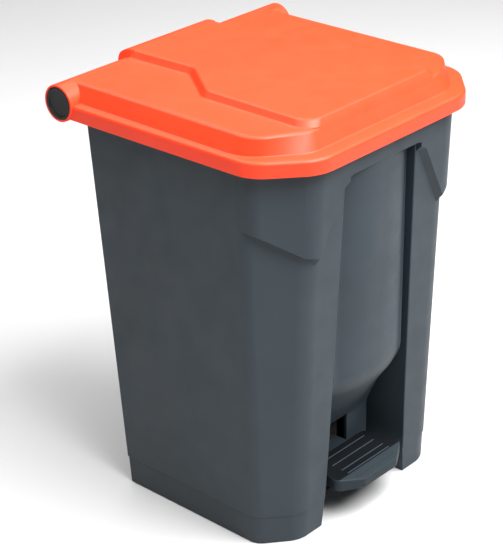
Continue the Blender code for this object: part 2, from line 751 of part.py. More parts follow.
def upper_deck_ring(grow, drop, height=None):
    """The raised deck's outline, on its own sloping top less a drop, or at a fixed height."""
    half = [(x, at_depth(distance)) for x, distance in UPPER_OUTLINE]
    corners = [(x, min(y, HINGE_Y)) for x, y in offset_corners(mirrored(half), grow)]
    radii = list(UPPER_RADII) + [0.0]
    outline = round_corners(corners, radii + radii[::-1])
    return [(x, y, upper_deck_z(y) - drop if height is None else height) for x, y in outline]


def barrel_ring(x, bump, wall=0.0):
    """The raised deck's roll over the hinge tube: full height on top, down to the tube at the rear."""
    points = []
    for step in range(BARREL_STEPS + 1):
        degrees = BARREL_START_DEG + (BARREL_END_DEG - BARREL_START_DEG) * step / BARREL_STEPS
        raised = bump * smooth_step((degrees - BARREL_END_DEG) / BARREL_BLEND_DEG)
        angle = math.radians(degrees)
        radius = TUBE_RADIUS - BARREL_SINK + raised - wall
        points.append((x, HINGE_Y + radius * math.cos(angle), HINGE_Z + radius * math.sin(angle)))
    points.append((x, HINGE_Y, HINGE_Z))
    return points


def make_barrel(name, wall):
    bump = UPPER_BARREL_RADIUS - TUBE_RADIUS + BARREL_SINK
    end = UPPER_BARREL_HALF_LENGTH
    low_end = end + BARREL_END_SLOPE
    sections = ((-low_end, 0.0), (-end, bump), (end, bump), (low_end, 0.0))
    return loft(name, [barrel_ring(x, raised, wall) for x, raised in sections], CUTTERS)


def sector(name, centre_x, half_width, angles):
    """A wedge about the hinge axis, for the slots in the tube."""
    start, end = angles
    outline = [(HINGE_Y, HINGE_Z)] + ring_points(HINGE_Y, HINGE_Z, SLOT_REACH, start, end, SLOT_STEPS)
    return plate(name, outline, centre_x, half_width)


def make_lid(material):
    half_round = RIM_ROUND * HALF_ROUND_SHARE
    rings = [
        lid_ring(RIM_OUTLINE, SKIRT_Z),
        lid_ring(RIM_OUTLINE, RIM_Z - RIM_ROUND),
        lid_ring(RIM_OUTLINE, RIM_Z - half_round, -half_round),
        lid_ring(RIM_OUTLINE, RIM_Z, -RIM_ROUND),
        lid_ring(GROOVE_OUTLINE, RIM_Z),
        lid_ring(DECK_OUTLINE, DECK_Z - DECK_ROUND),
        lid_ring(DECK_OUTLINE, DECK_Z, -DECK_ROUND),
    ]
    lid = loft("lid", rings, PARTS, material)
    upper = [
        upper_deck_ring(UPPER_DRAFT, 0, DECK_Z - SEAM),
        upper_deck_ring(UPPER_ROUND, UPPER_ROUND),
        upper_deck_ring(0, 0),
    ]
    join(lid, loft("upper_deck", upper, CUTTERS))
    rear = HINGE_Y - TUBE_RADIUS + TUBE_BORE
    heights = (SKIRT_Z - CLEAR, RIM_Z - LID_WALL)
    rim_cavity = [lid_ring(RIM_OUTLINE, height, -LID_WALL, rear) for height in heights]
    deck_cavity = [
        lid_ring(GROOVE_OUTLINE, RIM_Z - LID_WALL - UPPER_ROUND, -LID_WALL, rear),
        lid_ring(DECK_OUTLINE, DECK_Z - LID_WALL, -LID_WALL - UPPER_ROUND, rear),
    ]
    upper_cavity = [
        upper_deck_ring(-LID_WALL, 0, DECK_Z - LID_WALL - SEAM),
        upper_deck_ring(-LID_WALL, LID_WALL),
    ]
    upper_cavity = [[(x, min(y, rear), z) for x, y, z in ring] for ring in upper_cavity]
    cut(lid, loft("rim_cavity", rim_cavity, CUTTERS))
    cut(lid, loft("deck_cavity", deck_cavity, CUTTERS))
    cut(lid, loft("upper_cavity", upper_cavity, CUTTERS))
    centre = (0, HINGE_Y, HINGE_Z)
    join(lid, cylinder("hinge_tube", centre, (1, 0, 0), TUBE_RADIUS, 2 * TUBE_HALF_LENGTH, FINE_ROUND))
    join(lid, make_barrel("upper_barrel", 0.0))
    cut(lid, cylinder("tube_bore", centre, (1, 0, 0), TUBE_BORE, 2 * REACH, FINE_ROUND))
    cut(lid, make_barrel("barrel_cavity", LID_WALL))
    half_width = EAR_THICKNESS / 2 + EAR_SLOT_CLEARANCE
    for side in (-1, 1):
        cut(lid, sector(f"ear_slot_{side}", side * EAR_X, half_width, EAR_SLOT_ANGLES))
    cut(lid, sector("crank_slot", 0.0, CRANK_HALF_WIDTH + CRANK_SLOT_CLEARANCE, CRANK_SLOT_ANGLES))
    return lid


# ---------------------------------------------------------------- hinge pieces and linkage

def make_hinge(steel, black, nylon):
    centre = (0, HINGE_Y, HINGE_Z)
    length = 2 * HINGE_ROD_HALF_LENGTH
    cylinder("hinge_rod", centre, (1, 0, 0), HINGE_ROD_RADIUS, length, SMALL_ROUND, PARTS, steel)
    seat = HINGE_ROD_HALF_LENGTH + CAP_EDGE
    fit = HINGE_ROD_RADIUS + GAP
    outer = TUBE_BORE - CAP_FIT
    for side, name in ((-1, "left"), (1, "right")):
        inner_end = TUBE_HALF_LENGTH - CAP_LENGTH
        profile = [
            (0.0, TUBE_HALF_LENGTH),
            (outer - CAP_EDGE, TUBE_HALF_LENGTH),
            (outer, TUBE_HALF_LENGTH - CAP_EDGE),
            (outer, inner_end),
            (fit, inner_end),
            (fit, seat),
            (0.0, seat),
        ]
        turned(f"hinge_cap_{name}", profile, centre, (side, 0, 0), FINE_ROUND, black)
        low = BUSH_X - BUSH_LENGTH / 2
        high = BUSH_X + BUSH_LENGTH / 2
        profile = [(fit, high), (outer, high), (outer, low), (fit, low), (fit, high)]
        turned(f"hinge_bush_{name}", profile, centre, (side, 0, 0), ROUND, nylon)


def make_crank(plastic, steel):
    pin = Vector((PIN_Y, PIN_Z))
    hub = Vector((HINGE_Y, HINGE_Z))
    along = (pin - hub).normalized()
    across = Vector((-along.y, along.x))
    root = across * CRANK_ROOT_HALF_HEIGHT
    eye_start = math.degrees(math.atan2(across.y, across.x))
    eye = ring_points(*pin, CRANK_EYE_RADIUS, eye_start, eye_start - 180.0, SLOT_STEPS)
    arm = [tuple(hub - root), *reversed(eye), tuple(hub + root)]
    crank = plate("lid_crank", arm, 0.0, CRANK_HALF_WIDTH, PARTS, plastic)
    centre = (0, HINGE_Y, HINGE_Z)
    length = 2 * (CRANK_HALF_WIDTH + CRANK_HUB_EXTRA)
    join(crank, cylinder("crank_hub", centre, (1, 0, 0), TUBE_BORE - CRANK_HUB_FIT, length, ROUND))
    cut(crank, cylinder("crank_bore", centre, (1, 0, 0), HINGE_ROD_RADIUS + GAP, 2 * length))
    gap_start = hub + along * CRANK_FORK_START
    gap_end = pin + along * CRANK_FORK_REACH
    side = across * CRANK_FORK_REACH
    fork = [gap_start + side, gap_start - side, gap_end - side, gap_end + side]
    cut(crank, plate("crank_fork", [tuple(point) for point in fork], 0.0, CRANK_FORK_HALF_GAP))
    cut(crank, cylinder("crank_pin_hole", (0, *pin), (1, 0, 0), CRANK_PIN_RADIUS + GAP, 2 * length))
    end = CRANK_HALF_WIDTH + GAP
    profile = [
        (0.0, end + PIN_HEAD_HEIGHT),
        (PIN_HEAD_RADIUS, end + PIN_HEAD_HEIGHT),
        (PIN_HEAD_RADIUS, end),
        (CRANK_PIN_RADIUS, end),
        (CRANK_PIN_RADIUS, -end - PIN_HEAD_HEIGHT),
        (0.0, -end - PIN_HEAD_HEIGHT),
    ]
    turned("crank_pin", profile, (0, *pin), (1, 0, 0), SMALL_ROUND, steel)


def slot_outline(centre_y, half_length, radius):
    """A slot's outline at the crank pin's height: straight sides with round ends."""
    straight = half_length - radius
    outline = ring_points(centre_y + straight, PIN_Z, radius, -90, 90, ROD_HEAD_STEPS)
    return outline + ring_points(centre_y - straight, PIN_Z, radius, 90, 270, ROD_HEAD_STEPS)


def make_push_rod(steel, plastic):
    head_y = rod_y(PIN_Z)
    low = Vector((0, rod_y(ROD_FOOT_Z), ROD_FOOT_Z))
    high = Vector((0, head_y, PIN_Z - ROD_SLOT_HALF_HEIGHT - ROD_HEAD_WALL / 2))
    along = (high - low).normalized()
    middle = (low + high) / 2
    rod = cylinder("push_rod", middle, along, ROD_RADIUS, (high - low).length, SMALL_ROUND, PARTS, steel)
    outline = slot_outline(head_y, ROD_HEAD_HALF_LENGTH, ROD_SLOT_HALF_HEIGHT + ROD_HEAD_WALL)
    join(rod, plate("rod_head", outline, 0.0, CRANK_FORK_HALF_GAP - ROD_HEAD_SIDE_GAP))
    outline = slot_outline(head_y, ROD_SLOT_HALF_LENGTH, ROD_SLOT_HALF_HEIGHT)
    cut(rod, plate("rod_slot", outline, 0.0, CLEAR))
    socket = ROD_FOOT_Z - GAP
    inner = ROD_RADIUS + GAP
    profile = [
        (0.0, socket),
        (inner, socket),
        (inner, SHOE_Z[1]),
        (SHOE_RADIUS - SHOE_EDGE, SHOE_Z[1]),
        (SHOE_RADIUS, SHOE_Z[1] - SHOE_EDGE),
        (SHOE_RADIUS, SHOE_Z[0]),
        (0.0, SHOE_Z[0]),
    ]
    centre = Vector((0, rod_y(0.0), 0.0))
    turned("rod_shoe", profile, centre, along, SMALL_ROUND, plastic)


def lever_outline():
    """The side view of the bent bar: its centre line given a thickness."""
    front_bend, rear_bend = LEVER_BEND_DEPTHS
    path = [
        Vector((at_depth(LEVER_FRONT_DEPTH), LEVER_HIGH_Z)),
        Vector((at_depth(front_bend), LEVER_HIGH_Z)),
        Vector((at_depth(PIVOT_DEPTH), PIVOT_Z)),
        Vector((at_depth(rear_bend), LEVER_LOW_Z)),
        Vector((at_depth(LEVER_REAR_DEPTH), LEVER_LOW_Z)),
    ]
    upper = []
    lower = []
    for index, point in enumerate(path):
        before = (point - path[index - 1]).normalized() if index else None
        after = (path[index + 1] - point).normalized() if index < len(path) - 1 else None
        normals = [Vector((-step.y, step.x)) for step in (before, after) if step]
        normal = sum(normals, Vector((0, 0))) / len(normals)
        shift = normal * (LEVER_THICKNESS / 2 / normal.length_squared)
        upper.append(tuple(point + shift))
        lower.append(tuple(point - shift))
    return lower + upper[::-1]


def make_pedal_set(tread, steel, nylon):
    pivot = (0, at_depth(PIVOT_DEPTH), PIVOT_Z)
    lever = plate("pedal_lever", lever_outline(), 0.0, LEVER_HALF_WIDTH, PARTS, steel)
    length = 2 * LEVER_BOSS_HALF_LENGTH
    join(lever, cylinder("lever_boss", pivot, (1, 0, 0), LEVER_BOSS_RADIUS, length, MEDIUM_ROUND))
    outer = LEVER_BUSH_RADIUS
    cut(lever, cylinder("lever_bore", pivot, (1, 0, 0), outer + GAP, 2 * length, MEDIUM_ROUND))
    for index, distance in enumerate(PEDAL_SCREW_DEPTHS):
        centre = (0, at_depth(distance), LEVER_HIGH_Z)
        cut(lever, cylinder(f"lever_hole_{index}", centre, (0, 0, 1), SCREW_SHANK_RADIUS + GAP, 2 * CLEAR))
    high = LEVER_BOSS_HALF_LENGTH
    low = LEVER_BUSH_INNER_X
    inner = AXLE_RADIUS + GAP
    profile = [(inner, high), (outer, high), (outer, low), (inner, low), (inner, high)]
    for side, name in ((-1, "left"), (1, "right")):
        turned(f"lever_bush_{name}", profile, pivot, (side, 0, 0), MEDIUM_ROUND, nylon)
    make_pedal(tread)
    head_top = LEVER_HIGH_Z - LEVER_THICKNESS / 2 - GAP
    for name, distance in zip(("front", "rear"), PEDAL_SCREW_DEPTHS):
        centre = (0, at_depth(distance), head_top)
        make_screw(f"pedal_screw_{name}", centre, (0, 0, -1), PEDAL_SCREW_LENGTH, steel)


def make_screw(name, seat, outward, shank, material):
    """A pan-head screw whose head stands out from its seat."""
    head = SCREW_HEAD_HEIGHT
    profile = [
        (0.0, head),
        (SCREW_HEAD_RADIUS - head / 2, head),
        (SCREW_HEAD_RADIUS, head / 2),
        (SCREW_HEAD_RADIUS, 0.0),
        (SCREW_SHANK_RADIUS, 0.0),
        (SCREW_SHANK_RADIUS, -shank),
        (0.0, -shank),
    ]
    return turned(name, profile, seat, outward, SCREW_ROUND, material)


def pedal_corners(inset=0.0):
    half = [(x, at_depth(distance)) for x, distance in PEDAL_OUTLINE]
    return offset_corners(mirrored(half), -inset)


def pedal_solid(name, inset, low, drop, collection, material=None):
    """The tread's block, flat on top and sloping down towards its nose."""
    outline = round_corners(pedal_corners(inset), PEDAL_RADII + PEDAL_RADII[::-1], PEDAL_CORNER_STEPS)
    rings = [at_height(outline, low), at_height(outline, PEDAL_TOP_Z - drop)]
    block = loft(name, rings, collection, material)
    nose_y = at_depth(PEDAL_OUTLINE[0][1])
    break_y = at_depth(PEDAL_SLOPE_DEPTH)
    fall = (PEDAL_TOP_Z - PEDAL_NOSE_Z) / (break_y - nose_y)
    front_y = nose_y - CLEAR
    outline = [
        (break_y, PEDAL_TOP_Z - drop),
        (front_y, PEDAL_TOP_Z - drop - fall * (break_y - front_y)),
        (front_y, PEDAL_TOP_Z + CLEAR),
        (break_y + CLEAR, PEDAL_TOP_Z + CLEAR),
    ]
    cut(block, plate(name + "_slope", outline, 0.0, REACH))
    return block


def make_pedal(material):
    pedal = pedal_solid("pedal", 0.0, PEDAL_BOTTOM_Z, 0.0, PARTS, material)
    neck_front, neck_back = (at_depth(distance) for distance in PEDAL_NECK_DEPTHS)
    neck_top = PEDAL_TOP_Z - PEDAL_NECK_DROP
    neck_low = (-PEDAL_NECK_HALF_WIDTH, neck_front, neck_top - PEDAL_NECK_THICKNESS)
    neck_high = (PEDAL_NECK_HALF_WIDTH, neck_back, neck_top)
    cut(pedal, pedal_solid("pedal_hollow", PEDAL_WALL, PEDAL_BOTTOM_Z - CLEAR, PEDAL_WALL, CUTTERS))
    join(pedal, box("pedal_neck", neck_low, neck_high))
    way_front, way_back = (at_depth(distance) for distance in LEVER_WAY_DEPTHS)
    half_width = LEVER_HALF_WIDTH + LEVER_WAY_CLEARANCE
    way_low = (-half_width, way_front, PEDAL_BOTTOM_Z - CLEAR)
    cut(pedal, box("lever_way", way_low, (half_width, way_back, PEDAL_SEAT_Z)))
    up = (0, 0, 1)
    for index, distance in enumerate(PEDAL_SCREW_DEPTHS):
        centre = (0, at_depth(distance), PEDAL_SEAT_Z + PEDAL_BOSS_HEIGHT / 2)
        join(pedal, cylinder(f"pedal_boss_{index}", centre, up, PEDAL_BOSS_RADIUS, PEDAL_BOSS_HEIGHT))
        centre = (0, at_depth(distance), PEDAL_TOP_Z - PEDAL_SCREW_SKIN - CLEAR)
        cut(pedal, cylinder(f"pedal_hole_{index}", centre, up, SCREW_SHANK_RADIUS + GAP, 2 * CLEAR))
    for index, distance in enumerate(RIB_DEPTHS):
        y = at_depth(distance)
        rib_low = (-RIB_HALF_LENGTH, y - RIB_HALF_WIDTH, PEDAL_TOP_Z - RIB_ROOT)
        rib_high = (RIB_HALF_LENGTH, y + RIB_HALF_WIDTH, PEDAL_TOP_Z + RIB_HEIGHT)
        join(pedal, box(f"tread_rib_{index}", rib_low, rib_high))
    return pedal


def bracket_screw_places():
    side_inset, end_inset = BRACKET_SCREW_INSET
    for side in (-1, 1):
        for end in (-1, 1):
            x = side * (BRACKET_FOOT_HALF_WIDTH - side_inset)
            yield x, at_depth(PIVOT_DEPTH) + end * (BRACKET_HALF_DEPTH - end_inset)


def make_bracket(steel):
    pivot_y = at_depth(PIVOT_DEPTH)
    top = NECK_ROOF_Z - GAP
    outer = BRACKET_X + BRACKET_THICKNESS
    front = pivot_y - BRACKET_HALF_DEPTH
    back = pivot_y + BRACKET_HALF_DEPTH
    low = (-BRACKET_FOOT_HALF_WIDTH, front, top - BRACKET_THICKNESS)
    bracket = box("pivot_bracket", low, (BRACKET_FOOT_HALF_WIDTH, back, top), PARTS, steel)
    for side in (-1, 1):
        near, far = sorted((side * BRACKET_X, side * outer))
        cheek_top = top - BRACKET_THICKNESS / 2
        join(bracket, box(f"bracket_cheek_{side}", (near, front, BRACKET_LOW_Z), (far, back, cheek_top)))
    pivot = (0, pivot_y, PIVOT_Z)
    length = 2 * AXLE_HALF_LENGTH
    inner = AXLE_RADIUS + GAP
    cut(bracket, cylinder("axle_hole", pivot, (1, 0, 0), inner, length))
    hole = SCREW_SHANK_RADIUS + GAP
    for index, (x, y) in enumerate(bracket_screw_places()):
        cut(bracket, cylinder(f"bracket_hole_{index}", (x, y, top), (0, 0, 1), hole, 2 * CLEAR))
        seat = (x, y, top - BRACKET_THICKNESS - GAP)
        make_screw(f"bracket_screw_{index + 1}", seat, (0, 0, -1), BRACKET_SCREW_LENGTH, steel)
    cylinder("pedal_axle", pivot, (1, 0, 0), AXLE_RADIUS, length, SMALL_ROUND, PARTS, steel)
    low = outer + GAP
    high = low + CLIP_THICKNESS
    profile = [(inner, high), (CLIP_RADIUS, high), (CLIP_RADIUS, low), (inner, low), (inner, high)]
    for side, name in ((-1, "left"), (1, "right")):
        turned(f"axle_clip_{name}", profile, pivot, (side, 0, 0), SMALL_ROUND, steel)


# ---------------------------------------------------------------- rear channel, feet and buffers

def rear_normal():
    return Vector((0, 1, -REAR_SLOPE)).normalized()


def cover_screw_places():
    side_inset, end_inset = COVER_SCREW_INSET
    for z in (COVER_Z[0] + end_inset, COVER_Z[1] - end_inset):
        for side in (-1, 1):
            yield side * (COVER_HALF_WIDTH - side_inset), z


def make_cover(plastic, steel):
    rings = []
    for height in COVER_Z:
        outer = rear_y(height)
        inner = outer - COVER_THICKNESS
        x = COVER_HALF_WIDTH
        rings.append(at_height([(-x, inner), (x, inner), (x, outer), (-x, outer)], height))
    cover = loft("rod_cover", rings, PARTS, plastic)
    for index, (x, z) in enumerate(cover_screw_places()):
        face = Vector((x, rear_y(z), z))
        hole = SCREW_SHANK_RADIUS + GAP
        cut(cover, cylinder(f"cover_hole_{index}", face, rear_normal(), hole, 2 * CLEAR))
        seat = face + rear_normal() * GAP
        make_screw(f"cover_screw_{index + 1}", seat, rear_normal(), COVER_SCREW_LENGTH, steel)


def make_guides(nylon):
    front_gap, back_gap = GUIDE_GAPS
    half_width = CHANNEL_HALF_WIDTH - GAP
    along = Vector((0, ROD_SLOPE, 1)).normalized()
    for name, z in zip(("lower", "upper"), GUIDE_Z):
        front = rear_y(z) - CHANNEL_DEEP + front_gap
        back = rear_y(z) - COVER_THICKNESS - back_gap
        low = (-half_width, front, z - GUIDE_HALF_HEIGHT)
        high = (half_width, back, z + GUIDE_HALF_HEIGHT)
        guide = box(f"rod_guide_{name}", low, high, PARTS, nylon)
        length = 4 * GUIDE_HALF_HEIGHT
        cut(guide, cylinder(f"guide_bore_{name}", (0, rod_y(z), z), along, ROD_RADIUS + GAP, length))


def make_feet(rubber):
    profile = [
        (0.0, FOOT_HEIGHT),
        (FOOT_RADIUS, FOOT_HEIGHT),
        (FOOT_RADIUS, FOOT_EDGE),
        (FOOT_RADIUS - FOOT_EDGE, 0.0),
        (0.0, 0.0),
    ]
    for index, (x, y) in enumerate(foot_places()):
        turned(f"foot_{index + 1}", profile, (x, y, 0.0), (0, 0, 1), MEDIUM_ROUND, rubber)


def make_buffers(rubber):
    low = FLANGE_TOP_Z + GAP
    profile = [
        (0.0, BUFFER_HEIGHT),
        (BUFFER_RADIUS - FOOT_EDGE, BUFFER_HEIGHT),
        (BUFFER_RADIUS, BUFFER_HEIGHT - FOOT_EDGE),
        (BUFFER_RADIUS, 0.0),
        (0.0, 0.0),
    ]
    places = [(side * x, at_depth(distance)) for x, distance in BUFFER_PLACES for side in (-1, 1)]
    for index, (x, y) in enumerate(places):
        turned(f"lid_buffer_{index + 1}", profile, (x, y, low), (0, 0, 1), SMALL_ROUND, rubber)


# ---------------------------------------------------------------- joints' axes

def hang_on_axis(name, point, members):
    """Parent pieces to an empty on their joint's axis, without moving them."""
    axis = bpy.data.objects.new(name, None)
    axis.location = point
    PARTS.objects.link(axis)
    for member in members:
        item = bpy.data.objects[member]
        item.parent = axis
        item.location -= axis.location


def main():
    slate = new_material("slate_plastic", (0.055, 0.065, 0.072), 0.50)
    orange = new_material("orange_plastic", (0.85, 0.11, 0.035), 0.38)
    tread = new_material("pedal_plastic", (0.020, 0.023, 0.026), 0.55)
    black = new_material("black_plastic", (0.012, 0.013, 0.015), 0.45)
    nylon = new_material("nylon", (0.75, 0.74, 0.70), 0.50)
    steel = new_material("zinc_steel", (0.55, 0.56, 0.58), 0.35, 1.0)
    rubber = new_material("rubber", (0.015, 0.015, 0.015), 0.80)
    make_body(slate)
    make_lid(orange)
    make_hinge(steel, black, nylon)
    make_crank(black, steel)
    make_push_rod(steel, black)
    make_pedal_set(tread, steel, nylon)
    make_bracket(steel)
    make_cover(slate, steel)
    make_guides(nylon)
    make_feet(rubber)
    make_buffers(rubber)
    hang_on_axis("lid_axis", (0, HINGE_Y, HINGE_Z), LID_SET)
    hang_on_axis("pedal_axis", (0, at_depth(PIVOT_DEPTH), PIVOT_Z), PEDAL_SET)
    hang_on_axis("rod_axis", (0, rod_y(ROD_FOOT_Z), ROD_FOOT_Z), ROD_SET)


main()
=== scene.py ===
"""Pedal waste bin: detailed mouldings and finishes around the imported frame.

Metres, +Z up, front towards -Y. Depths are measured towards the rear from the toe, the line where the front
columns meet the floor.
"""

import json
import math

import bmesh
import bpy
from mathutils import Matrix, Vector


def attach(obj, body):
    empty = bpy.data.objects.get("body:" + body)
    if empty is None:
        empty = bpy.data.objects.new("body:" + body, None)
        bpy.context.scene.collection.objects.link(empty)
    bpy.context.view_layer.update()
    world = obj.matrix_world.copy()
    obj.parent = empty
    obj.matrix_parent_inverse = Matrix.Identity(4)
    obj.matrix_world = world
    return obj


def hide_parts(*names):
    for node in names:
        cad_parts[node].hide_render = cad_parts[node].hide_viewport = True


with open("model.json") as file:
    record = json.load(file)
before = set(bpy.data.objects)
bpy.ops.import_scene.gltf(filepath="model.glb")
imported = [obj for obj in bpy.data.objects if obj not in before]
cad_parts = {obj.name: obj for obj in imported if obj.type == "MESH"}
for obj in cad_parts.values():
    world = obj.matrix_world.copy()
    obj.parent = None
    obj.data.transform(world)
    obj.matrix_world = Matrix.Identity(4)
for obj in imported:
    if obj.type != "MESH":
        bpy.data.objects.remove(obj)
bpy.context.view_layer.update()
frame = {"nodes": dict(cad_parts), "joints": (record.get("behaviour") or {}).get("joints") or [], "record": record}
JOINTS = {joint["name"]: joint for joint in frame["joints"]}
HINGE_Y, HINGE_Z = JOINTS["lid_hinge"]["pos_m"][1:]
PIVOT_Y = JOINTS["pedal_pivot"]["pos_m"][1]

GAP = 0.0003
SEAM = 0.002                     # how far one joined form reaches into the next
CLEAR = 0.010                    # how far a cutter runs past the face it opens
REACH = 0.300                    # further than any face of the bin
MERGE = 0.00001
CORNER_STEPS = 14                # facets in a rounded corner
EDGE_STEPS = 4                   # facets in a rounded edge
SMALL_EDGE_STEPS = 3
WIDE_EDGE_STEPS = 6
CORNER_WALL_STEPS = 10           # facets along the lid's walls across its front corners
CAP_SEGMENTS = 64                # segments of round forms
BOSS_SEGMENTS = 32
BORE_SEGMENTS = 24
HOLE_SEGMENTS = 16
SHARP_ANGLE = math.radians(38.0)
MIN_RADIUS = 0.004
HINGE_DEPTH = 0.3928
TOE_Y = HINGE_Y - HINGE_DEPTH

# Body
WALL = 0.0045
BODY_FOOT_Z = 0.0008
BODY_FOOT_ROUND = 0.0015
PLINTH_Z = 0.050
PLINTH_INSET = 0.0015
PLINTH_ROUND = 0.0009
PLINTH_STEPS = 6
FLOOR_Z = 0.140
FLANGE_Z = 0.646
FLANGE_FLARE = 0.004
FLANGE_TOP_Z = 0.6615
FLANGE_OUT = 0.007
BASE_HALF_WIDTH = 0.2112
SIDE_SLOPE = 0.0333
REAR_DEPTH = 0.3275
REAR_SLOPE = 0.0409
FRONT_SLOPE = 0.0460
FRONT_CORNER_X = 0.1570
SIDE_CORNER_DEPTH = 0.0460
SIDE_CORNER_SLOPE = 0.0130
BODY_CORNER_RADII = (0.050, 0.030, 0.005)

# Upper band with a V-shaped lower edge
BAND_OUT = 0.010
BAND_CORNER_X = 0.1590
BAND_SIDE_INSET = 0.0004
BAND_SIDE_FORWARD = 0.016
BAND_LOW_Z = 0.470
BAND_REAR_DEPTH = 0.070
BAND_EDGE = ((0.1475, 0.4985), (0.0965, 0.5940), (0.0825, 0.6010), (0.0785, 0.6100))    # from the V's tip
BAND_OUTER = (0.2270, 0.558)
BAND_CAVITY_RISE = 0.007
BAND_ROUND = 0.0012
BAND_LEDGE = 0.0085               # how far the ledge slopes back along the front faces

# Front recess and bulged panel
RECESS_DEPTH = 0.100
RECESS_WIDTHS = ((-0.010, 0.1060), (0.060, 0.0990), (0.150, 0.0950), (0.608, 0.0820))
RECESS_TOP_Z = RECESS_WIDTHS[-1][0]
RECESS_LIP = 0.0018              # radius of the columns' inner edges
RECESS_LIP_DEG = 78.0
PANEL_FOOT_Z = BODY_FOOT_Z + 0.001
PANEL_TOP_Z = 0.612
PANEL_HALF_WIDTH_LOW = 0.0840
PANEL_HALF_WIDTH_HIGH = 0.0800
PANEL_DEPTH_MID = -0.0220
PANEL_SLOPE = 0.0430
NECK_DEPTH = 0.060
NECK_ROOF_Z = FLOOR_Z - 0.0005
BELLY_HIGH_Z = 0.258
BELLY_LOW_Z = 0.114
BELLY_STEPS = 26
BELLY_EDGES = (0.16, 0.26)       # share of the belly's height over which it turns, low and high
PANEL_CURVE = 2.6                # power of the face's curve from its middle to its sides
PANEL_STEPS = 12
PANEL_RETURN = (0.003, 0.0165)   # how far back the side flange is, low and high
PANEL_RETURN_GAIN = 0.020        # how much further back it is per metre above the belly
PANEL_RETURN_RISE = 0.090
PANEL_FLANGE = 0.0055
PANEL_FLANGE_ROUND = 0.0007
WINDOW_HALF_WIDTH = 0.029
WINDOW_Z = (0.020, 0.125)
WINDOW_DEPTHS = (0.028, 0.076)

# Lid
LID_WALL = 0.003
SKIRT_Z = 0.643
SKIRT_EDGE = 0.0010
SKIRT_EDGE_STEPS = 2
RIM_Z = 0.667
DECK_Z = 0.694
RIM_OUTLINE = ((0.1700, -0.0566, 0.065), (0.2450, 0.0115, 0.060), (0.2480, 0.3928, 0.0))
GROOVE_OUTLINE = ((0.1640, -0.0312, 0.050), (0.2355, 0.0330, 0.070), (0.2345, 0.3928, 0.0))
DECK_OUTLINE = ((0.1490, -0.0175, 0.030), (0.2210, 0.0225, 0.038), (0.2205, 0.3928, 0.0))
RIM_ROUND = 0.006
GROOVE_ROUND = 0.0022
DECK_ROUND = 0.0055
WALL_DEG = 20.0                  # the deck's wall leaves its rounded edges at this angle
UPPER_REAR_Z = 0.7065
UPPER_FRONT_Z = 0.7040
UPPER_OUTLINE = ((0.145, -0.0124), (0.145, 0.1850), (0.086, 0.2660), (0.091, 0.3928))
UPPER_RADII = (0.027, 0.024, 0.024)
UPPER_ROOT = 0.006               # how far below the lower deck the raised one starts
UPPER_DRAFT = 0.0065
UPPER_ROUND = 0.0035
UPPER_FILLET = 0.0030
UPPER_ROUND_DEG = 25.0           # the raised deck's wall ends in its rounded edge at this angle
UPPER_FILLET_DEG = 30.0          # and leaves the fillet at its foot at this one
CAVITY_INSET = 0.001             # how much further in the deck's cavities are at their tops

# Hinge tube
TUBE_RADIUS = 0.0293
TUBE_BORE = 0.0260
TUBE_HALF_LENGTH = 0.2505
TUBE_SEGMENTS = 96
TUBE_EDGE = 0.0012
UPPER_BARREL_RADIUS = UPPER_REAR_Z - HINGE_Z
BARREL_HALF_LENGTH = 0.091
BARREL_END_SLOPE = 0.007
BARREL_SINK = 0.0005
BARREL_START_DEG = 96.0
BARREL_END_DEG = -8.0
BARREL_BLEND_DEG = 60.0
BARREL_STEPS = 26
BARREL_END_STEPS = 6
CAP_LENGTH = 0.015
CAP_FIT = 0.0004
CAP_DISH = 0.0016                # how deep the cap's face is dished
CAP_SLOPE_WIDTH = 0.0060         # where the dish's side starts and ends, in from the cap's edge
CAP_RIM_WIDTH = 0.0040
CAP_RIM_ROUND = 0.0012
CAP_EDGE = 0.0010
CAP_ROD_GAP = 0.001
ROD_RADIUS = 0.006
ROD_HALF_LENGTH = 0.240
EAR_X = 0.120
EAR_THICKNESS = 0.012
EAR_BOSS_RADIUS = 0.013
EAR_ROOT_Z = (0.598, 0.640)
EAR_TANGENT_DEG = (300.0, 125.0)
EAR_SLOT = (190.0, 335.0)
EAR_SLOT_CLEARANCE = 0.0015
CRANK_SLOT = (192.0, 243.0)
CRANK_SLOT_HALF_WIDTH = 0.0096
SLOT_REACH = 0.040
SLOT_STEPS = 16

# Pedal
PEDAL_BOTTOM_Z = 0.0560
PEDAL_TOP_Z = 0.0770
PEDAL_NOSE_Z = 0.0720
PEDAL_SLOPE_DEPTH = -0.0120
PEDAL_OUTLINE = ((0.040, -0.0350), (0.0820, -0.0100), (0.067, 0.0560))
PEDAL_RADII = (0.012, 0.014, 0.010)
PEDAL_MIN_RADIUS = 0.003
PEDAL_EDGE = 0.0018
PEDAL_LEAST_EDGE = 0.0002        # the block's top edge is never sharper than this
PEDAL_WALL = 0.0032
PEDAL_NECK_HALF_WIDTH = 0.026
PEDAL_NECK_DEPTHS = (0.0505, 0.082)
PEDAL_NECK_THICKNESS = 0.0067
PEDAL_NECK_DROP = 0.0005         # the neck's top is this far below the tread
PEDAL_NECK_EDGE = 0.0012
PEDAL_SEAT_Z = 0.0695
LEVER_WAY_HALF_WIDTH = 0.013
LEVER_WAY_DEPTHS = (0.045, 0.090)
PEDAL_SCREW_DEPTHS = (0.004, 0.040)
PEDAL_BOSS_RADIUS = 0.006
PEDAL_BOSS_HEIGHT = 0.006
PEDAL_SCREW_SKIN = 0.002         # tread left above a screw's hole
SCREW_HOLE = 0.0022
RIB_DEPTHS = (0.042, 0.0229, 0.0035, -0.0090)
RIB_HALF_LENGTH = 0.0525
RIB_HALF_WIDTH = 0.0010
RIB_HEIGHT = 0.0014
RIB_ROOT = 0.002
RIB_EDGE = 0.0007
NOSE_RIB_HALF_LENGTH = 0.046
NOSE_RIB_SINK = 0.0003

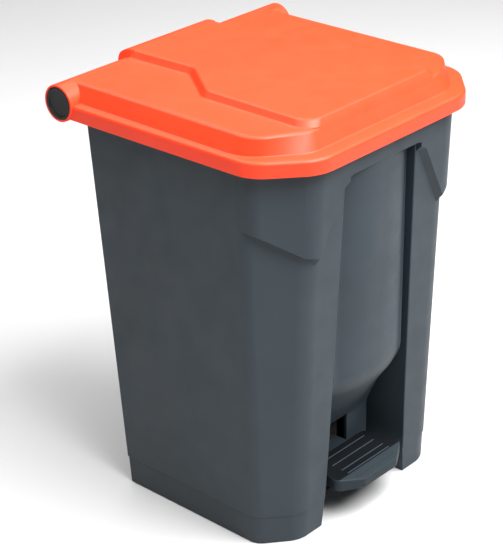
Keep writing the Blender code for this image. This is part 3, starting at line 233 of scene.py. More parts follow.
# Rear channel and feet
CHANNEL_HALF_WIDTH = 0.022
CHANNEL_DEEP = 0.0383
CHANNEL_LOW_Z = 0.055
CHANNEL_HIGH_Z = 0.700
CHANNEL_CASING_LOW_Z = 0.100
COVER_HALF_WIDTH = 0.034
COVER_THICKNESS = 0.003
COVER_Z = (0.062, 0.600)
COVER_SCREW_INSET = (0.006, 0.014)
COVER_SCREW_HOLE = (0.006, 0.012)           # centre's depth behind the rear face, and length
BRACKET_SCREWS = ((0.040, 0.011), (0.040, -0.011))    # half width, and depth from the pivot
BRACKET_SCREW_HOLE = 0.0066
FOOT_PLACES = ((0.1240, 0.0210), (0.1900, 0.3040))
FOOT_RADIUS = 0.012
FOOT_HEIGHT = 0.0062
FOOT_BOSS_RADIUS = 0.017
FOOT_BOSS_TOP = 0.024

# View
CAMERA_PLACE = (-1.9018, -1.6979, 1.6273)
CAMERA_AZIMUTH = -47.38
CAMERA_ELEVATION = 26.65
CAMERA_ROLL = -1.32
CAMERA_LENS = 116.53
SENSOR = 36.0


def at_depth(distance):
    """Y of a point this far behind the toe."""
    return TOE_Y + distance


def rear_y(height):
    return at_depth(REAR_DEPTH + height * REAR_SLOPE)


def mix(low, high, share):
    return low + (high - low) * share


def smooth_step(value):
    value = min(max(value, 0.0), 1.0)
    return value * value * (3.0 - 2.0 * value)


# ---------------------------------------------------------------- forms

def new_object(name, mesh):
    item = bpy.data.objects.new(name, mesh)
    bpy.context.scene.collection.objects.link(item)
    return item


def from_bmesh(name, form):
    bmesh.ops.recalc_face_normals(form, faces=form.faces)
    mesh = bpy.data.meshes.new(name)
    form.to_mesh(mesh)
    form.free()
    return new_object(name, mesh)


def boolean(target, tool, operation):
    modifier = target.modifiers.new(tool.name, "BOOLEAN")
    modifier.operation = operation
    modifier.object = tool
    modifier.solver = "EXACT"


def cut(target, *tools):
    for tool in tools:
        boolean(target, tool, "DIFFERENCE")


def join(target, *tools):
    for tool in tools:
        boolean(target, tool, "UNION")


def settle(item):
    """Make the modifiers' result the object's own mesh, and remove the tools they used."""
    bpy.context.view_layer.update()
    graph = bpy.context.evaluated_depsgraph_get()
    mesh = bpy.data.meshes.new_from_object(item.evaluated_get(graph))
    tools = [item]
    for tool in tools:
        tools.extend(modifier.object for modifier in tool.modifiers if modifier.type == "BOOLEAN")
    item.modifiers.clear()
    item.data = mesh
    for tool in tools[1:]:
        bpy.data.objects.remove(tool, do_unlink=True)
    return item


def offset_corners(corners, distance):
    moved = []
    count = len(corners)
    for index in range(count):
        here = Vector(corners[index])
        before = (here - Vector(corners[index - 1])).normalized()
        after = (Vector(corners[(index + 1) % count]) - here).normalized()
        outward = Vector((before.y, -before.x)) + Vector((after.y, -after.x))
        moved.append(tuple(here + outward * (distance / (outward.length_squared / 2.0))))
    return moved


def round_corners(corners, radii, steps=CORNER_STEPS):
    points = []
    count = len(corners)
    for index in range(count):
        here = Vector(corners[index])
        to_before = (Vector(corners[index - 1]) - here).normalized()
        to_after = (Vector(corners[(index + 1) % count]) - here).normalized()
        radius = radii[index]
        if radius <= 0.0:
            points.append(tuple(here))
            continue
        half_angle = to_before.angle(to_after) / 2.0
        centre = here + (to_before + to_after).normalized() * (radius / math.sin(half_angle))
        start = here + to_before * (radius / math.tan(half_angle)) - centre
        turn = math.pi - 2.0 * half_angle
        cross = to_before.x * to_after.y - to_before.y * to_after.x
        direction = -1.0 if cross > 0.0 else 1.0
        for step in range(steps + 1):
            arm = start.copy()
            arm.rotate(Matrix.Rotation(direction * turn * step / steps, 2))
            points.append(tuple(centre + arm))
    return points


def mirrored(half):
    return list(half) + [(-x, y) for x, y in reversed(half)]


def loft(name, rings):
    form = bmesh.new()
    rows = [[form.verts.new(point) for point in ring] for ring in rings]
    count = len(rows[0])
    for low, high in zip(rows, rows[1:]):
        for index in range(count):
            following = (index + 1) % count
            form.faces.new((low[index], low[following], high[following], high[index]))
    form.faces.new(list(reversed(rows[0])))
    form.faces.new(rows[-1])
    return from_bmesh(name, form)


def at_height(outline, height):
    return [(x, y, height) for x, y in outline]


def box(name, low, high, edge=0.0):
    form = bmesh.new()
    bmesh.ops.create_cube(form, size=1.0)
    size = Vector(high) - Vector(low)
    bmesh.ops.scale(form, vec=size, verts=form.verts)
    bmesh.ops.translate(form, vec=(Vector(high) + Vector(low)) / 2.0, verts=form.verts)
    if edge:
        bmesh.ops.bevel(
            form, geom=form.edges, offset=edge, segments=SMALL_EDGE_STEPS, profile=0.5, affect="EDGES"
        )
    return from_bmesh(name, form)


def axis_matrix(axis):
    return Vector((0, 0, 1)).rotation_difference(Vector(axis)).to_matrix().to_4x4()


def cylinder(name, centre, axis, radius, length, segments=BORE_SEGMENTS):
    form = bmesh.new()
    bmesh.ops.create_cone(
        form, cap_ends=True, segments=segments, radius1=radius, radius2=radius, depth=length
    )
    item = from_bmesh(name, form)
    item.data.transform(Matrix.Translation(centre) @ axis_matrix(axis))
    return item


def turned(name, profile, centre, axis, segments):
    """A solid of revolution from (radius, height) points, whose ends are on the axis or meet."""
    form = bmesh.new()
    points = [form.verts.new((radius, 0.0, height)) for radius, height in profile]
    outline = points + [form.edges.new(pair) for pair in zip(points, points[1:])]
    axis_place, axis_way = (0, 0, 0), (0, 0, 1)
    bmesh.ops.spin(
        form, geom=outline, cent=axis_place, axis=axis_way, angle=math.tau, steps=segments, use_merge=True
    )
    bmesh.ops.remove_doubles(form, verts=form.verts, dist=MERGE)
    item = from_bmesh(name, form)
    item.data.transform(Matrix.Translation(centre) @ axis_matrix(axis))
    return item


def plate(name, outline, centre_x, half_thickness):
    """A flat outline of (y, z) points, given a thickness along X."""
    form = bmesh.new()
    low = [form.verts.new((centre_x - half_thickness, y, z)) for y, z in outline]
    high = [form.verts.new((centre_x + half_thickness, y, z)) for y, z in outline]
    form.faces.new(low)
    form.faces.new(list(reversed(high)))
    for index in range(len(outline)):
        following = (index + 1) % len(outline)
        form.faces.new((low[index], high[index], high[following], low[following]))
    return from_bmesh(name, form)


def arc(radius, start_deg, end_deg, steps):
    angles = [math.radians(mix(start_deg, end_deg, step / steps)) for step in range(steps + 1)]
    return [(radius * math.cos(angle), radius * math.sin(angle)) for angle in angles]


# ---------------------------------------------------------------- body

def hull_ring(height, grow=0.0):
    half_width = BASE_HALF_WIDTH + height * SIDE_SLOPE
    front = at_depth(-height * FRONT_SLOPE)
    side_corner = at_depth(SIDE_CORNER_DEPTH - height * SIDE_CORNER_SLOPE)
    corners = mirrored([(FRONT_CORNER_X, front), (half_width, side_corner), (half_width, rear_y(height))])
    radii = [max(radius + grow, MIN_RADIUS) for radius in BODY_CORNER_RADII]
    return at_height(round_corners(offset_corners(corners, grow), radii + radii[::-1]), height)


def band_ring(height, grow=0.0):
    half_width = BASE_HALF_WIDTH + height * SIDE_SLOPE - BAND_SIDE_INSET
    front = at_depth(-height * FRONT_SLOPE - BAND_OUT)
    side_corner = at_depth(SIDE_CORNER_DEPTH - height * SIDE_CORNER_SLOPE - BAND_SIDE_FORWARD)
    half = [(BAND_CORNER_X, front), (half_width, side_corner), (half_width, at_depth(BAND_REAR_DEPTH))]
    radii = [BODY_CORNER_RADII[0], BODY_CORNER_RADII[1], 0.0]
    return at_height(round_corners(offset_corners(mirrored(half), grow), radii + radii[::-1]), height)


def rise(height, span=BELLY_HIGH_Z - BELLY_LOW_Z):
    return smooth_step((height - BELLY_LOW_Z) / span)


def belly_turn(height):
    """0 above the belly and 1 in the neck: a straight slope between two rounded turns."""
    share = min(max((BELLY_HIGH_Z - height) / (BELLY_HIGH_Z - BELLY_LOW_Z), 0.0), 1.0)
    low, high = BELLY_EDGES
    slope = 1.0 / (1.0 - (low + high) / 2)
    if share < high:
        return slope * share * share / (2 * high)
    if share > 1.0 - low:
        return 1.0 - slope * (1.0 - share) ** 2 / (2 * low)
    return slope * (share - high / 2)


def panel_face_depth(height):
    upper = PANEL_DEPTH_MID - (height - BELLY_HIGH_Z) * PANEL_SLOPE
    return upper + (NECK_DEPTH - upper) * belly_turn(height)


def panel_half_width(height):
    lean = min(max((height - BELLY_HIGH_Z) / (PANEL_TOP_Z - BELLY_HIGH_Z), 0.0), 1.0)
    return mix(PANEL_HALF_WIDTH_LOW, PANEL_HALF_WIDTH_HIGH, lean)


def panel_back(height):
    """How far the panel's sides are behind the middle of its face."""
    back = mix(*PANEL_RETURN, rise(height, PANEL_RETURN_RISE))
    return back + max(height - BELLY_HIGH_Z, 0.0) * PANEL_RETURN_GAIN


def panel_ring(height):
    """The curved face, then a narrow flange, then the panel's straight flanks."""
    outer = panel_half_width(height)
    inner = outer - PANEL_FLANGE
    face = panel_face_depth(height)
    back = panel_back(height)
    half = []
    for step in range(1, PANEL_STEPS + 1):
        share = step / PANEL_STEPS
        half.append((inner * share, at_depth(face + back * share ** PANEL_CURVE)))
    edge = PANEL_FLANGE_ROUND
    for x, y in arc(edge, 90.0, 0.0, EDGE_STEPS):
        half.append((outer - edge + x, at_depth(face + back + edge - y)))
    half.append((outer, at_depth(RECESS_DEPTH + SEAM)))
    return at_height(mirrored(half), height)


def panel_cavity_ring(height):
    half_width = panel_half_width(height) - WALL - PANEL_FLANGE
    face = panel_face_depth(height) + WALL
    back = panel_back(height)
    half = []
    for step in range(1, PANEL_STEPS + 1):
        share = step / PANEL_STEPS
        half.append((half_width * share, at_depth(face + back * share ** PANEL_CURVE)))
    half.append((half_width, at_depth(RECESS_DEPTH + CLEAR)))
    return at_height(mirrored(half), height)


def panel_heights(low, high):
    belly = [mix(BELLY_LOW_Z, BELLY_HIGH_Z, step / BELLY_STEPS) for step in range(BELLY_STEPS + 1)]
    return [low] + [height for height in belly if low + SEAM < height < high - SEAM] + [high]


def recess_form(name, grow, depth, lip=0.0):
    """The space between the columns; a lip flares its mouth, which rounds the columns' inner edges."""
    rings = []
    for height, half_width in RECESS_WIDTHS:
        x = half_width + grow
        face = -height * FRONT_SLOPE
        half = [(x, at_depth(-0.150)), (x, at_depth(depth))]
        if lip:
            mouth = [
                (x + lip - across, at_depth(face + lip - along))
                for across, along in arc(lip, RECESS_LIP_DEG, 0.0, EDGE_STEPS)
            ]
            half = [(mouth[0][0], at_depth(-0.150)), *mouth, (x, at_depth(depth))]
        rings.append(at_height(mirrored(half), height))
    return loft(name, rings)


def rear_channel(name, half_width, deep, low, high):
    rings = []
    for height in (low, high):
        front = rear_y(height) - deep
        back = rear_y(height) + 3 * CLEAR
        corners = [(-half_width, front), (half_width, front), (half_width, back), (-half_width, back)]
        rings.append(at_height(corners, height))
    return loft(name, rings)


def round_band_edges(item):
    """Round the band's lower edges where a ledge that faces down meets its outer faces."""
    form = bmesh.new()
    form.from_mesh(item.data)
    bmesh.ops.remove_doubles(form, verts=form.verts, dist=MERGE)
    bmesh.ops.dissolve_limit(form, angle_limit=math.radians(0.5), verts=form.verts, edges=form.edges)
    edges = []
    for edge in form.edges:
        if len(edge.link_faces) != 2 or edge.calc_face_angle_signed() < math.radians(40.0):
            continue
        normals = [face.normal for face in edge.link_faces]
        ledge = [normal for normal in normals if abs(normal.y) < 0.01 and normal.z < -0.1]
        outer = [normal for normal in normals if normal.y < -0.1]
        if len(ledge) == 1 and len(outer) == 1:
            edges.append(edge)
    bmesh.ops.bevel(form, geom=edges, offset=BAND_ROUND, segments=3, profile=0.5, affect="EDGES")
    form.to_mesh(item.data)
    form.free()


def make_band():
    grow = FLANGE_OUT / 2
    flare = [(BAND_LOW_Z, 0.0), (FLANGE_Z, 0.0), (FLANGE_Z + FLANGE_FLARE, grow), (FLANGE_TOP_Z, grow)]
    band = loft("band", [band_ring(height, out) for height, out in flare])
    (tip_x, tip_z), (outer_x, outer_z) = BAND_EDGE[0], BAND_OUTER
    side_z = outer_z + (REACH - outer_x) * (outer_z - tip_z) / (outer_x - tip_x)
    half = [(REACH, side_z), *BAND_EDGE]
    low = BAND_LOW_Z - CLEAR
    outer = [(REACH, low)] + half + [(-x, z) for x, z in reversed(half)] + [(-REACH, low)]
    inner = offset_corners(outer, -BAND_LEDGE)
    rings = []
    for share, back in ((0.0, REACH), (0.0, 0.0), (2.0, 0.0)):
        ring = []
        for start, end in zip(inner, outer):
            x, z = mix(start[0], end[0], share), mix(start[1], end[1], share)
            ring.append((x, at_depth(back - z * FRONT_SLOPE - share * BAND_OUT), z))
        rings.append(ring)
    cut(band, loft("below_band_edge", rings))
    settle(band)
    round_band_edges(band)
    return band


def make_bucket_cavity():
    floor_top = FLOOR_Z + WALL
    above_rim = FLANGE_TOP_Z + CLEAR
    cavity = loft("bucket_cavity", [hull_ring(floor_top, -WALL), hull_ring(above_rim, -WALL)])
    cut(cavity, recess_casing("recess_casing", RECESS_TOP_Z + WALL))
    half_width = CHANNEL_HALF_WIDTH + WALL
    deep = CHANNEL_DEEP + WALL
    cut(cavity, rear_channel("channel_casing", half_width, deep, CHANNEL_CASING_LOW_Z, CHANNEL_HIGH_Z))
    heights = panel_heights(floor_top, RECESS_TOP_Z - MIN_RADIUS)
    join(cavity, loft("panel_cavity", [panel_cavity_ring(height) for height in heights]))
    heights = (RECESS_TOP_Z + BAND_CAVITY_RISE, above_rim)
    join(cavity, loft("band_cavity", [band_ring(height, -WALL) for height in heights]))
    return cavity


def recess_casing(name, top):
    casing = recess_form(name, WALL, RECESS_DEPTH + WALL)
    for point in casing.data.vertices:
        if point.co.z > RECESS_TOP_Z - SEAM:
            point.co.z = top
    return casing


def make_base_cavity():
    thin = -WALL - PLINTH_INSET
    cavity = loft("base_cavity", [hull_ring(-CLEAR, thin), hull_ring(FLOOR_Z, thin)])
    cut(cavity, recess_casing("base_recess_casing", RECESS_TOP_Z))
    heights = panel_heights(-CLEAR - SEAM, NECK_ROOF_Z)
    join(cavity, loft("neck_cavity", [panel_cavity_ring(height) for height in heights]))
    return cavity


def make_ear(side):
    low, high = EAR_ROOT_Z
    root_y = rear_y(low) - WALL / 2
    below, above = (
        (HINGE_Y + EAR_BOSS_RADIUS * math.cos(angle), HINGE_Z + EAR_BOSS_RADIUS * math.sin(angle))
        for angle in map(math.radians, EAR_TANGENT_DEG)
    )
    outline = [(root_y, low), below, (HINGE_Y, HINGE_Z), above, (root_y, high)]
    arm = plate(f"ear_arm_{side}", outline, side * EAR_X, EAR_THICKNESS / 2)
    centre = (side * EAR_X, HINGE_Y, HINGE_Z)
    length = EAR_THICKNESS + GAP / 2
    join(arm, cylinder(f"ear_boss_{side}", centre, (1, 0, 0), EAR_BOSS_RADIUS, length, BOSS_SEGMENTS))
    return arm


def rear_normal():
    return Vector((0, 1, -REAR_SLOPE)).normalized()


def body_rings():
    rings = []
    for across, up in arc(BODY_FOOT_ROUND, -90.0, 0.0, EDGE_STEPS):
        rings.append(hull_ring(BODY_FOOT_Z + BODY_FOOT_ROUND + up, across - BODY_FOOT_ROUND - PLINTH_INSET))
    for step in range(PLINTH_STEPS + 1):
        share = step / PLINTH_STEPS
        height = PLINTH_Z + mix(-PLINTH_ROUND, PLINTH_ROUND, share)
        rings.append(hull_ring(height, -PLINTH_INSET * (1.0 - smooth_step(share))))
    rings.append(hull_ring(FLANGE_Z))
    rings.append(hull_ring(FLANGE_Z + FLANGE_FLARE, FLANGE_OUT))
    for across, up in arc(BODY_FOOT_ROUND, 0.0, 90.0, EDGE_STEPS):
        rings.append(hull_ring(FLANGE_TOP_Z - BODY_FOOT_ROUND + up, FLANGE_OUT + across - BODY_FOOT_ROUND))
    return rings


def make_body():
    body = loft("bin_shell", body_rings())
    join(body, make_band())
    cut(body, recess_form("front_recess", 0.0, RECESS_DEPTH, RECESS_LIP))
    heights = panel_heights(PANEL_FOOT_Z, PANEL_TOP_Z)
    join(body, loft("front_panel", [panel_ring(height) for height in heights]))
    cut(body, make_bucket_cavity(), make_base_cavity())
    up = (0, 0, 1)
    for x, distance in FOOT_PLACES:
        for side in (-1, 1):
            height = FOOT_BOSS_TOP - BODY_FOOT_Z
            place = Vector((side * x, at_depth(distance), 0.0))
            centre = place + Vector((0, 0, BODY_FOOT_Z + height / 2))
            join(body, cylinder("foot_boss", centre, up, FOOT_BOSS_RADIUS, height, BOSS_SEGMENTS))
            height = 2 * (FOOT_HEIGHT + GAP)
            cut(body, cylinder("foot_socket", place, up, FOOT_RADIUS + GAP, height, BOSS_SEGMENTS))
    cut(body, rear_channel("rod_channel", CHANNEL_HALF_WIDTH, CHANNEL_DEEP, CHANNEL_LOW_Z, CHANNEL_HIGH_Z))
    rebate = COVER_THICKNESS + GAP
    low, high = COVER_Z
    cut(body, rear_channel("cover_rebate", COVER_HALF_WIDTH + GAP, rebate, low - GAP, high + GAP))
    window_low = (-WINDOW_HALF_WIDTH, at_depth(WINDOW_DEPTHS[0]), WINDOW_Z[0])
    window_high = (WINDOW_HALF_WIDTH, at_depth(WINDOW_DEPTHS[1]), WINDOW_Z[1])
    cut(body, box("lever_window", window_low, window_high))
    for side in (-1, 1):
        join(body, make_ear(side))
    cut(body, cylinder("ear_bore", (0, HINGE_Y, HINGE_Z), (1, 0, 0), ROD_RADIUS + GAP, REACH))
    side_inset, end_inset = COVER_SCREW_INSET
    deep, length = COVER_SCREW_HOLE
    for z in (low + end_inset, high - end_inset):
        for side in (-1, 1):
            place = (side * (COVER_HALF_WIDTH - side_inset), rear_y(z) - deep, z)
            hole = cylinder("cover_screw_hole", place, rear_normal(), SCREW_HOLE, length, HOLE_SEGMENTS)
            cut(body, hole)
    for x, along in BRACKET_SCREWS:
        for side in (-1, 1):
            place = (side * x, PIVOT_Y + along, FLOOR_Z)
            length = BRACKET_SCREW_HOLE
            cut(body, cylinder("bracket_screw_hole", place, up, SCREW_HOLE, length, HOLE_SEGMENTS))
    return settle(body)


# ---------------------------------------------------------------- lid

def blend_outlines(low, high, share):
    """An outline of (half width, depth, corner radius) points between two others."""
    return [tuple(mix(a, b, share) for a, b in zip(start, end)) for start, end in zip(low, high)]


def lid_ring(outline, height, grow=0.0, rear=None):
    """An outline's ring. The walls across its front corners twist, so they are divided."""
    rear = HINGE_Y if rear is None else rear
    half = [(x, min(at_depth(distance), rear)) for x, distance, radius in outline]
    corners = [(x, min(y, rear)) for x, y in offset_corners(mirrored(half), grow)]
    rounding = [max(radius + grow, MIN_RADIUS) if radius else 0.0 for x, distance, radius in outline]
    points = round_corners(corners, rounding + rounding[::-1])
    for last in (len(points) - CORNER_STEPS - 2, CORNER_STEPS):
        (start_x, start_y), (end_x, end_y) = points[last:last + 2]
        between = []
        for step in range(1, CORNER_WALL_STEPS):
            share = step / CORNER_WALL_STEPS
            between.append((mix(start_x, end_x, share), mix(start_y, end_y, share)))
        points[last + 1:last + 1] = between
    return at_height(points, height)


def wall_ring(height, grow=0.0):
    share = (height - RIM_Z) / (DECK_Z - RIM_Z)
    return lid_ring(blend_outlines(GROOVE_OUTLINE, DECK_OUTLINE, share), height, grow)


def lid_rings():
    rings = []
    for across, up in arc(SKIRT_EDGE, -90.0, 0.0, SKIRT_EDGE_STEPS):
        rings.append(lid_ring(RIM_OUTLINE, SKIRT_Z + SKIRT_EDGE + up, across - SKIRT_EDGE))
    for across, up in arc(RIM_ROUND, 0.0, 90.0, WIDE_EDGE_STEPS):
        rings.append(lid_ring(RIM_OUTLINE, RIM_Z - RIM_ROUND + up, across - RIM_ROUND))
    for across, down in arc(GROOVE_ROUND, 90.0, WALL_DEG, EDGE_STEPS):
        rings.append(wall_ring(RIM_Z + GROOVE_ROUND - down, GROOVE_ROUND - across))
    for across, up in arc(DECK_ROUND, WALL_DEG, 90.0, WIDE_EDGE_STEPS):
        rings.append(wall_ring(DECK_Z - DECK_ROUND + up, across - DECK_ROUND))
    return rings


def upper_deck_z(y):
    front = at_depth(UPPER_OUTLINE[0][1])
    return mix(UPPER_FRONT_Z, UPPER_REAR_Z, (y - front) / (HINGE_Y - front))


def front_wall_depth(height):
    """Depth of the lid's sloping front wall, which runs on up to the upper deck."""
    share = (height - RIM_Z) / (DECK_Z - RIM_Z)
    return mix(GROOVE_OUTLINE[0][1], DECK_OUTLINE[0][1], share)


def upper_outline(grow, front_depth):
    half = [(x, at_depth(distance)) for x, distance in UPPER_OUTLINE]
    corners = [(x, min(y, HINGE_Y)) for x, y in offset_corners(mirrored(half), grow)]
    front = at_depth(front_depth)
    corners[0] = (corners[0][0], front)
    corners[-1] = (corners[-1][0], front)
    radii = list(UPPER_RADII) + [0.0]
    return round_corners(corners, radii + radii[::-1])


def upper_ring(grow, share, drop=0.0, round_in=0.0):
    """One ring of the raised deck, at a share of its wall's height, less a drop."""
    level = mix(DECK_Z, UPPER_FRONT_Z, share) - drop
    outline = upper_outline(grow, front_wall_depth(level) + round_in)
    return [(x, y, mix(DECK_Z, upper_deck_z(y), share) - drop) for x, y in outline]


def make_upper_deck():
    root = DECK_Z - UPPER_ROOT
    rings = [at_height(upper_outline(UPPER_DRAFT, front_wall_depth(root)), root)]
    rings.append(upper_ring(UPPER_DRAFT, 0.0, SEAM))
    wall_top = 1.0 - UPPER_ROUND / (UPPER_FRONT_Z - DECK_Z)
    fillet_top = UPPER_FILLET / (UPPER_FRONT_Z - DECK_Z)
    for across, down in arc(UPPER_FILLET, 90.0, UPPER_FILLET_DEG, EDGE_STEPS):
        share = fillet_top * (1.0 - down / UPPER_FILLET)
        rings.append(upper_ring(mix(UPPER_DRAFT, 0.0, share) + UPPER_FILLET - across, share))
    for across, up in arc(UPPER_ROUND, UPPER_ROUND_DEG, 90.0, WIDE_EDGE_STEPS):
        share = wall_top + up / (UPPER_FRONT_Z - DECK_Z)
        inset = UPPER_ROUND - across
        rings.append(upper_ring(mix(UPPER_DRAFT, 0.0, share) - inset, share, 0.0, inset))
    return loft("upper_deck", rings)


def barrel_ring(x, bump, wall=0.0):
    points = []
    for step in range(BARREL_STEPS + 1):
        degrees = mix(BARREL_START_DEG, BARREL_END_DEG, step / BARREL_STEPS)
        raised = bump * smooth_step((degrees - BARREL_END_DEG) / BARREL_BLEND_DEG)
        angle = math.radians(degrees)
        radius = TUBE_RADIUS - BARREL_SINK + raised - wall
        points.append((x, HINGE_Y + radius * math.cos(angle), HINGE_Z + radius * math.sin(angle)))
    points.append((x, HINGE_Y, HINGE_Z))
    return points


def make_barrel(name, wall):
    bump = UPPER_BARREL_RADIUS - TUBE_RADIUS + BARREL_SINK
    sections = []
    for step in range(BARREL_END_STEPS + 1):
        share = step / BARREL_END_STEPS
        sections.append((BARREL_HALF_LENGTH + BARREL_END_SLOPE * (1.0 - share), bump * smooth_step(share)))
    sections = [(-x, raised) for x, raised in sections] + sections[::-1]
    return loft(name, [barrel_ring(x, raised, wall) for x, raised in sections])


def sector(name, centre_x, half_width, angles):
    points = [(HINGE_Y + y, HINGE_Z + z) for y, z in arc(SLOT_REACH, *angles, SLOT_STEPS)]
    return plate(name, [(HINGE_Y, HINGE_Z)] + points, centre_x, half_width)


def make_tube():
    profile = [(0.0, TUBE_HALF_LENGTH)]
    for across, up in arc(TUBE_EDGE, 90.0, 0.0, EDGE_STEPS):
        profile.append((TUBE_RADIUS - TUBE_EDGE + across, TUBE_HALF_LENGTH - TUBE_EDGE + up))
    profile += [(radius, -height) for radius, height in reversed(profile)]
    return turned("hinge_tube", profile, (0, HINGE_Y, HINGE_Z), (1, 0, 0), TUBE_SEGMENTS)


def cut_lid_inside(lid):
    rear = HINGE_Y - TUBE_RADIUS + TUBE_BORE
    heights = (SKIRT_Z - CLEAR, RIM_Z - LID_WALL)
    cut(lid, loft("rim_cavity", [lid_ring(RIM_OUTLINE, height, -LID_WALL, rear) for height in heights]))
    low = lid_ring(GROOVE_OUTLINE, RIM_Z - LID_WALL - CAVITY_INSET, -LID_WALL, rear)
    high = lid_ring(DECK_OUTLINE, DECK_Z - LID_WALL, -LID_WALL - CAVITY_INSET, rear)
    cut(lid, loft("deck_cavity", [low, high]))
    inner = []
    levels = ((-LID_WALL, 0.0, LID_WALL + SEAM), (-LID_WALL - CAVITY_INSET, 1.0, LID_WALL))
    for grow, share, drop in levels:
        level = mix(DECK_Z, UPPER_FRONT_Z, share) - drop
        outline = upper_outline(grow, front_wall_depth(level) + LID_WALL)
        inner.append([(x, min(y, rear), mix(DECK_Z, upper_deck_z(y), share) - drop) for x, y in outline])
    cut(lid, loft("upper_cavity", inner))


def make_lid():
    lid = loft("lid_shell", lid_rings())
    join(lid, make_upper_deck())
    cut_lid_inside(lid)
    join(lid, make_tube(), make_barrel("upper_barrel", 0.0))
    bore = cylinder("tube_bore", (0, HINGE_Y, HINGE_Z), (1, 0, 0), TUBE_BORE, 2 * REACH, TUBE_SEGMENTS)
    cut(lid, bore, make_barrel("barrel_cavity", LID_WALL))
    half_width = EAR_THICKNESS / 2 + EAR_SLOT_CLEARANCE
    for side in (-1, 1):
        cut(lid, sector("ear_slot", side * EAR_X, half_width, EAR_SLOT))
    cut(lid, sector("crank_slot", 0.0, CRANK_SLOT_HALF_WIDTH, CRANK_SLOT))
    return settle(lid)


def make_cap(side, name):
    """A black plug with a raised rim and a shallow dish, for one end of the hinge tube."""
    outer = TUBE_BORE - CAP_FIT
    end = TUBE_HALF_LENGTH
    profile = [(0.0, end - CAP_DISH), (outer - CAP_SLOPE_WIDTH, end - CAP_DISH)]
    for across, up in arc(CAP_RIM_ROUND, 180.0, 90.0, SMALL_EDGE_STEPS):
        profile.append((outer - CAP_RIM_WIDTH + across, end - CAP_RIM_ROUND + up))
    for across, up in arc(CAP_EDGE, 90.0, 0.0, SMALL_EDGE_STEPS):
        profile.append((outer - CAP_EDGE + across, end - CAP_EDGE + up))
    profile += [(outer, end - CAP_LENGTH), (ROD_RADIUS + GAP, end - CAP_LENGTH)]
    seat = ROD_HALF_LENGTH + CAP_ROD_GAP
    profile += [(ROD_RADIUS + GAP, seat), (0.0, seat)]
    return turned(name, profile, (0, HINGE_Y, HINGE_Z), (side, 0, 0), CAP_SEGMENTS)


# ---------------------------------------------------------------- pedal

def pedal_block(name, inset, low, drop, edge):
    """The tread's block, flat on top and sloping down towards its nose."""
    corners = mirrored([(x, at_depth(distance)) for x, distance in PEDAL_OUTLINE])
    radii = [max(radius - inset, PEDAL_MIN_RADIUS) for radius in PEDAL_RADII]
    radii += radii[::-1]
    top_edge = max(edge, PEDAL_LEAST_EDGE)
    nose_y = at_depth(PEDAL_OUTLINE[0][1])
    break_y = at_depth(PEDAL_SLOPE_DEPTH)
    fall = (PEDAL_TOP_Z - PEDAL_NOSE_Z) / (break_y - nose_y)

    def top_z(y):
        return PEDAL_TOP_Z - drop - max(break_y - y, 0.0) * fall

    rings = [at_height(round_corners(offset_corners(corners, -inset), radii), low)]
    if edge:
        rings = []
        for across, up in arc(edge, -90.0, 0.0, SMALL_EDGE_STEPS):
            outline = round_corners(offset_corners(corners, -inset - edge + across), radii)
            rings.append(at_height(outline, low + edge + up))
    for across, up in arc(top_edge, 0.0, 90.0, EDGE_STEPS):
        outline = round_corners(offset_corners(corners, -inset - top_edge + across), radii)
        rings.append([(x, y, top_z(y) - top_edge + up) for x, y in outline])
    block = loft(name, rings)
    form = bmesh.new()
    form.from_mesh(block.data)
    geometry = form.verts[:] + form.edges[:] + form.faces[:]
    bmesh.ops.bisect_plane(form, geom=geometry, plane_co=(0, break_y, 0), plane_no=(0, 1, 0), dist=MERGE)
    form.to_mesh(block.data)
    form.free()
    return block


def make_rib(distance, half_length, height, slope):
    """A long bar with rounded edges, lying across the tread."""
    low = (-half_length, -RIB_HALF_WIDTH, -RIB_ROOT)
    rib = box("tread_rib", low, (half_length, RIB_HALF_WIDTH, RIB_HEIGHT), RIB_EDGE)
    place = Matrix.Translation((0, at_depth(distance), height))
    rib.data.transform(place @ Matrix.Rotation(slope, 4, "X"))
    return rib


